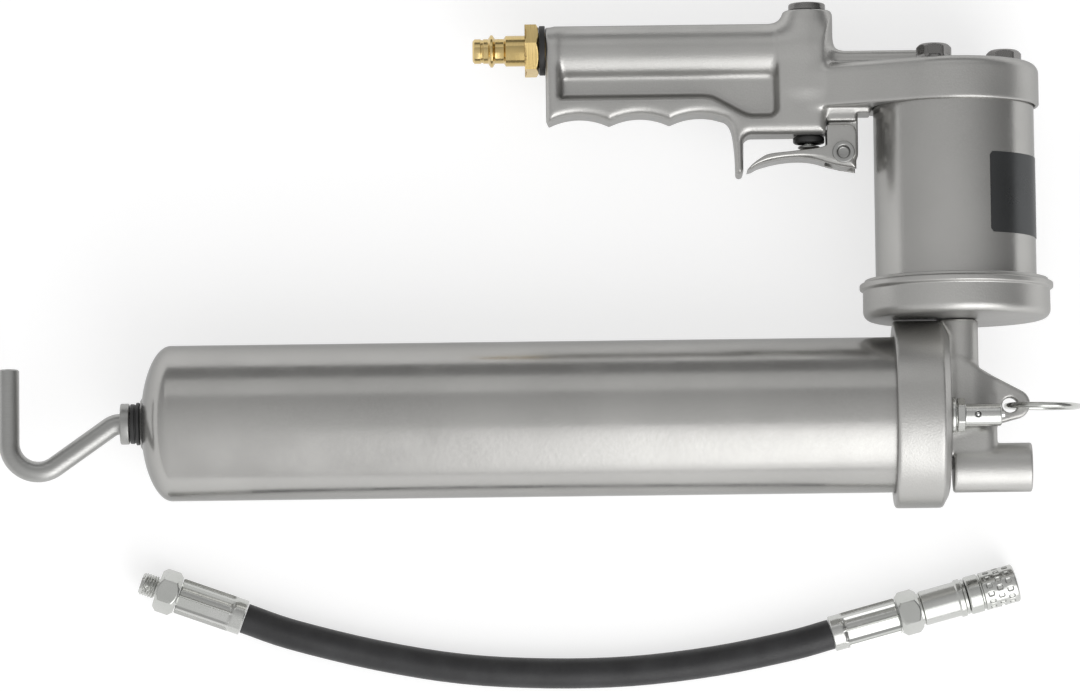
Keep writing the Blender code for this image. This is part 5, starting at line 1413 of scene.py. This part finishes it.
def build_coupler(place):
    mesh = crimped(COUPLER_FERRULE_LENGTH)
    ferrule = add_fitting("crimped_coupler_ferrule", mesh, "coupler_ferrule", place)
    start = COUPLER_FERRULE_LENGTH + FIT
    hex_end = start + COUPLER_HEX_LENGTH
    end = hex_end + COUPLER_BODY_LENGTH
    rear_r = COUPLER_R - 0.6
    outline = hex_outline(STEM_BORE_R, STEM_HEX_FLATS, start, hex_end, STEM_HEX_CHAMFER)[:-1]
    outline += filleted([
        (rear_r - 0.6, hex_end),
        (rear_r - 0.6, hex_end + 0.8, 0.2),
        (rear_r, hex_end + 1.2, 0.3),
        (rear_r, end - 3.6, 0.3),
        (COUPLER_R, end - 3.0, 0.3),
        (COUPLER_R, end - 1.4, 0.3),
        (COUPLER_R - 0.5, end - 1.0, 0.2),
        (COUPLER_R - 0.5, end, 0.2),
        (COUPLER_BORE_R, end),
        (COUPLER_BORE_R, end - COUPLER_POCKET),
        (STEM_BORE_R, end - COUPLER_POCKET),
    ])
    section = section_change(hex_end, hex_section(STEM_HEX_FLATS), round_section)
    mesh = turned(outline, X, segments=120, section=section, closed=True)
    body = add_fitting("coupler_hex_body", mesh, "coupler_body", place)

    # Sleeve with a groove and three rows of pressed notches.
    start = end + FIT
    end = start + COUPLER_SLEEVE_LENGTH
    low = (start, -COUPLER_R, -COUPLER_R)
    high = (end, COUPLER_R, COUPLER_R)
    first, x, y, z = samples(low, high, SMALL_MARGIN, SMALL_STEP)
    around = np.sqrt(y ** 2 + z ** 2)
    turn = np.arctan2(y, z)
    sleeve = rounded_pair(around - COUPLER_R, between(x, start, end), 0.8)
    groove_start, groove_end = (start + station for station in SLEEVE_GROOVE)
    groove_depth = COUPLER_R - SLEEVE_GROOVE_DEPTH - around
    groove = rounded_pair(groove_depth, between(x, groove_start, groove_end), 0.1)
    sleeve = soft_cut(sleeve, groove, 0.3)
    for row in range(NOTCH_ROWS):
        station = start + NOTCH_START + row * NOTCH_PITCH
        phase = (turn * NOTCH_COUNT / math.tau + 0.5 * row) % 1.0 - 0.5
        across = np.abs(phase) * math.tau / NOTCH_COUNT * around - NOTCH_HALF_WIDTH
        along = between(x, station - NOTCH_HALF_LENGTH, station + NOTCH_HALF_LENGTH)
        notch = np.maximum(rounded_pair(across, along, 0.5), COUPLER_R - NOTCH_DEPTH - around)
        sleeve = soft_cut(sleeve, notch, 0.3)
    bore = np.where(x > end - COUPLER_LIP, around - COUPLER_MOUTH_R, around - COUPLER_BORE_R)
    sleeve = soft_cut(sleeve, bore, 0.2)
    mesh = cast(sleeve, first, SMALL_STEP)
    return [ferrule, body, add_fitting("notched_coupler_sleeve", mesh, "coupler_sleeve", place)]


def build_hose(springs):
    points, route = hose_points()
    curve = bpy.data.curves.new("rubber_hose", "CURVE")
    curve.dimensions = "3D"
    curve.bevel_depth = HOSE_R * MM
    curve.bevel_resolution = 10
    curve.use_fill_caps = True
    path = curve.splines.new("POLY")
    path.points.add(len(points) - 1)
    for point, place in zip(path.points, points):
        point.co = (*place, 1.0)
    path.use_smooth = True
    hose = put_piece("rubber_hose", curve, hose_rubber, ["hose"])
    fittings = build_stem(fitting_frame(route[0], route[1]))
    fittings += build_coupler(fitting_frame(route[-1], route[-2]))
    fittings.append(springs["coupler_spring"])
    on_hose = [f"coupler_jaw_{i}" for i in range(1, 5)] + ["coupler_seal"]
    fittings += [frame["nodes"][name] for name in on_hose]


def dress_nodes():
    """Materials for the CAD nodes that show or work inside as they are."""
    looks = {
        polished: ["check_ball", "bleed_pin", "pump_plunger"] + [f"coupler_jaw_{i}" for i in range(1, 5)],
        zinc: ["valve_stem", "piston_nut", "check_screw", "gland_nut"],
        satin_zinc: ["follower"],
        bare_aluminium: ["air_piston", "head_plate"],
        nitrile: ["barrel_gasket", "head_gasket", "piston_seal", "plunger_packing", "stem_seal",
                  "valve_cap_seal", "coupler_seal"],
    }
    for look, names in looks.items():
        for name in names:
            mesh = frame["nodes"][name].data
            mesh.materials.clear()
            mesh.materials.append(look)


# Floor, lights and camera.
def build_floor():
    """Pale floor that looks white to the camera and in the metal, and keeps a soft shadow."""
    mesh = bpy.data.meshes.new("floor")
    corners = [(-1.0, -1.0), (1.0, -1.0), (1.0, 1.0), (-1.0, 1.0)]
    verts = [(x * FLOOR_REACH, y * FLOOR_REACH, FLOOR_HEIGHT) for x, y in corners]
    mesh.from_pydata(verts, [], [(0, 1, 2, 3)])
    look = bpy.data.materials.new("pale_floor")
    look.use_nodes = True
    tree = look.node_tree
    shader = tree.nodes["Principled BSDF"]
    rays = add_node(tree, "LightPath", {}).outputs
    seen = maths(tree, "MAXIMUM", rays["Is Camera Ray"], rays["Is Glossy Ray"])
    seen = maths(tree, "MAXIMUM", seen, rays["Is Transmission Ray"])
    feed(tree, shader, {
        "Base Color": (FLOOR_TONE, FLOOR_TONE, FLOOR_TONE, 1.0),
        "Roughness": FLOOR_ROUGHNESS,
        "Emission Color": (1.0, 1.0, 1.0, 1.0),
        "Emission Strength": maths(tree, "MULTIPLY", seen, FLOOR_GLOW),
    })
    mesh.materials.append(look)
    put("floor", mesh)


def add_panel(name, place, size, radiance, target):
    """A rectangular soft light that looks at a point."""
    lamp = bpy.data.lights.new(name, "AREA")
    lamp.shape = "RECTANGLE"
    lamp.size, lamp.size_y = size
    lamp.energy = radiance * math.pi * size[0] * size[1]
    light = put(name, lamp)
    light.location = place
    aim = Vector(target) - Vector(place)
    light.rotation_euler = aim.to_track_quat("-Z", "Y").to_euler()


def build_lights():
    """A long soft panel on the barrel's side, a strip behind the handle, and an uneven pale room."""
    for name, left, height, radiance in KEY_PANELS:
        middle = (left + KEY_RIGHT) / 2
        target = (middle, *LIGHT_TARGET[1:])
        add_panel(name, (middle, *KEY_PLACE), (KEY_RIGHT - left, height), radiance, target)
    add_panel("back_strip", BACK_PLACE, BACK_SIZE, BACK_RADIANCE, LIGHT_TARGET)
    world = bpy.data.worlds.new("studio")
    world.use_nodes = True
    tree = world.node_tree
    sky = tree.nodes["Background"]
    towards = add_node(tree, "TexCoord", {}).outputs["Generated"]
    slope = maths(tree, "DOT_PRODUCT", towards, ROOM_SLOPE, "VectorMath", "Value")
    level = maths(tree, "ADD", slope, ROOM_LEVEL)
    square = maths(tree, "MULTIPLY", towards, towards, "VectorMath", "Vector")
    fall = maths(tree, "DOT_PRODUCT", square, ROOM_FALL, "VectorMath", "Value")
    strength = maths(tree, "SUBTRACT", level, fall)
    feed(tree, sky, {"Color": (1.0, 1.0, 1.0, 1.0), "Strength": strength})
    bpy.context.scene.world = world


def build_camera():
    """Camera at the photograph's angle: tipped towards the barrel's side of the gun and rolled."""
    towards = (gun_z * math.cos(VIEW_TILT) - gun_y * math.sin(VIEW_TILT)).normalized()
    right = (gun_x - towards * gun_x.dot(towards)).normalized()
    up = towards.cross(right)
    roll = Matrix.Rotation(-VIEW_ROLL, 3, towards)
    right = roll @ right
    up = roll @ up
    shift_right = (PHOTO_SIZE[0] / 2 - ORIGIN_PIXEL[0]) * MM_PER_PIXEL
    shift_up = (ORIGIN_PIXEL[1] - PHOTO_SIZE[1] / 2) * MM_PER_PIXEL
    place = gun_origin + (right * shift_right + up * shift_up + towards * CAMERA_DISTANCE) * MM
    camera = bpy.data.cameras.new("camera")
    camera.sensor_width = SENSOR_WIDTH
    camera.lens = SENSOR_WIDTH * CAMERA_DISTANCE / (PHOTO_SIZE[0] * MM_PER_PIXEL)
    camera.clip_end = CLIP_END
    bpy.context.scene.camera = put("camera", camera, frame_matrix(right, up, towards, place))
    bpy.context.scene.view_settings.view_transform = "Standard"


build_camera()
build_hose(build_springs())
build_barrel()
build_rod()
build_grease_head()
build_bleed_valve()
build_ring()
build_air_cylinder()
build_label()
build_bolts()
build_handle()
build_valve()
build_trigger()
build_inlet()
dress_nodes()
build_floor()
build_lights()
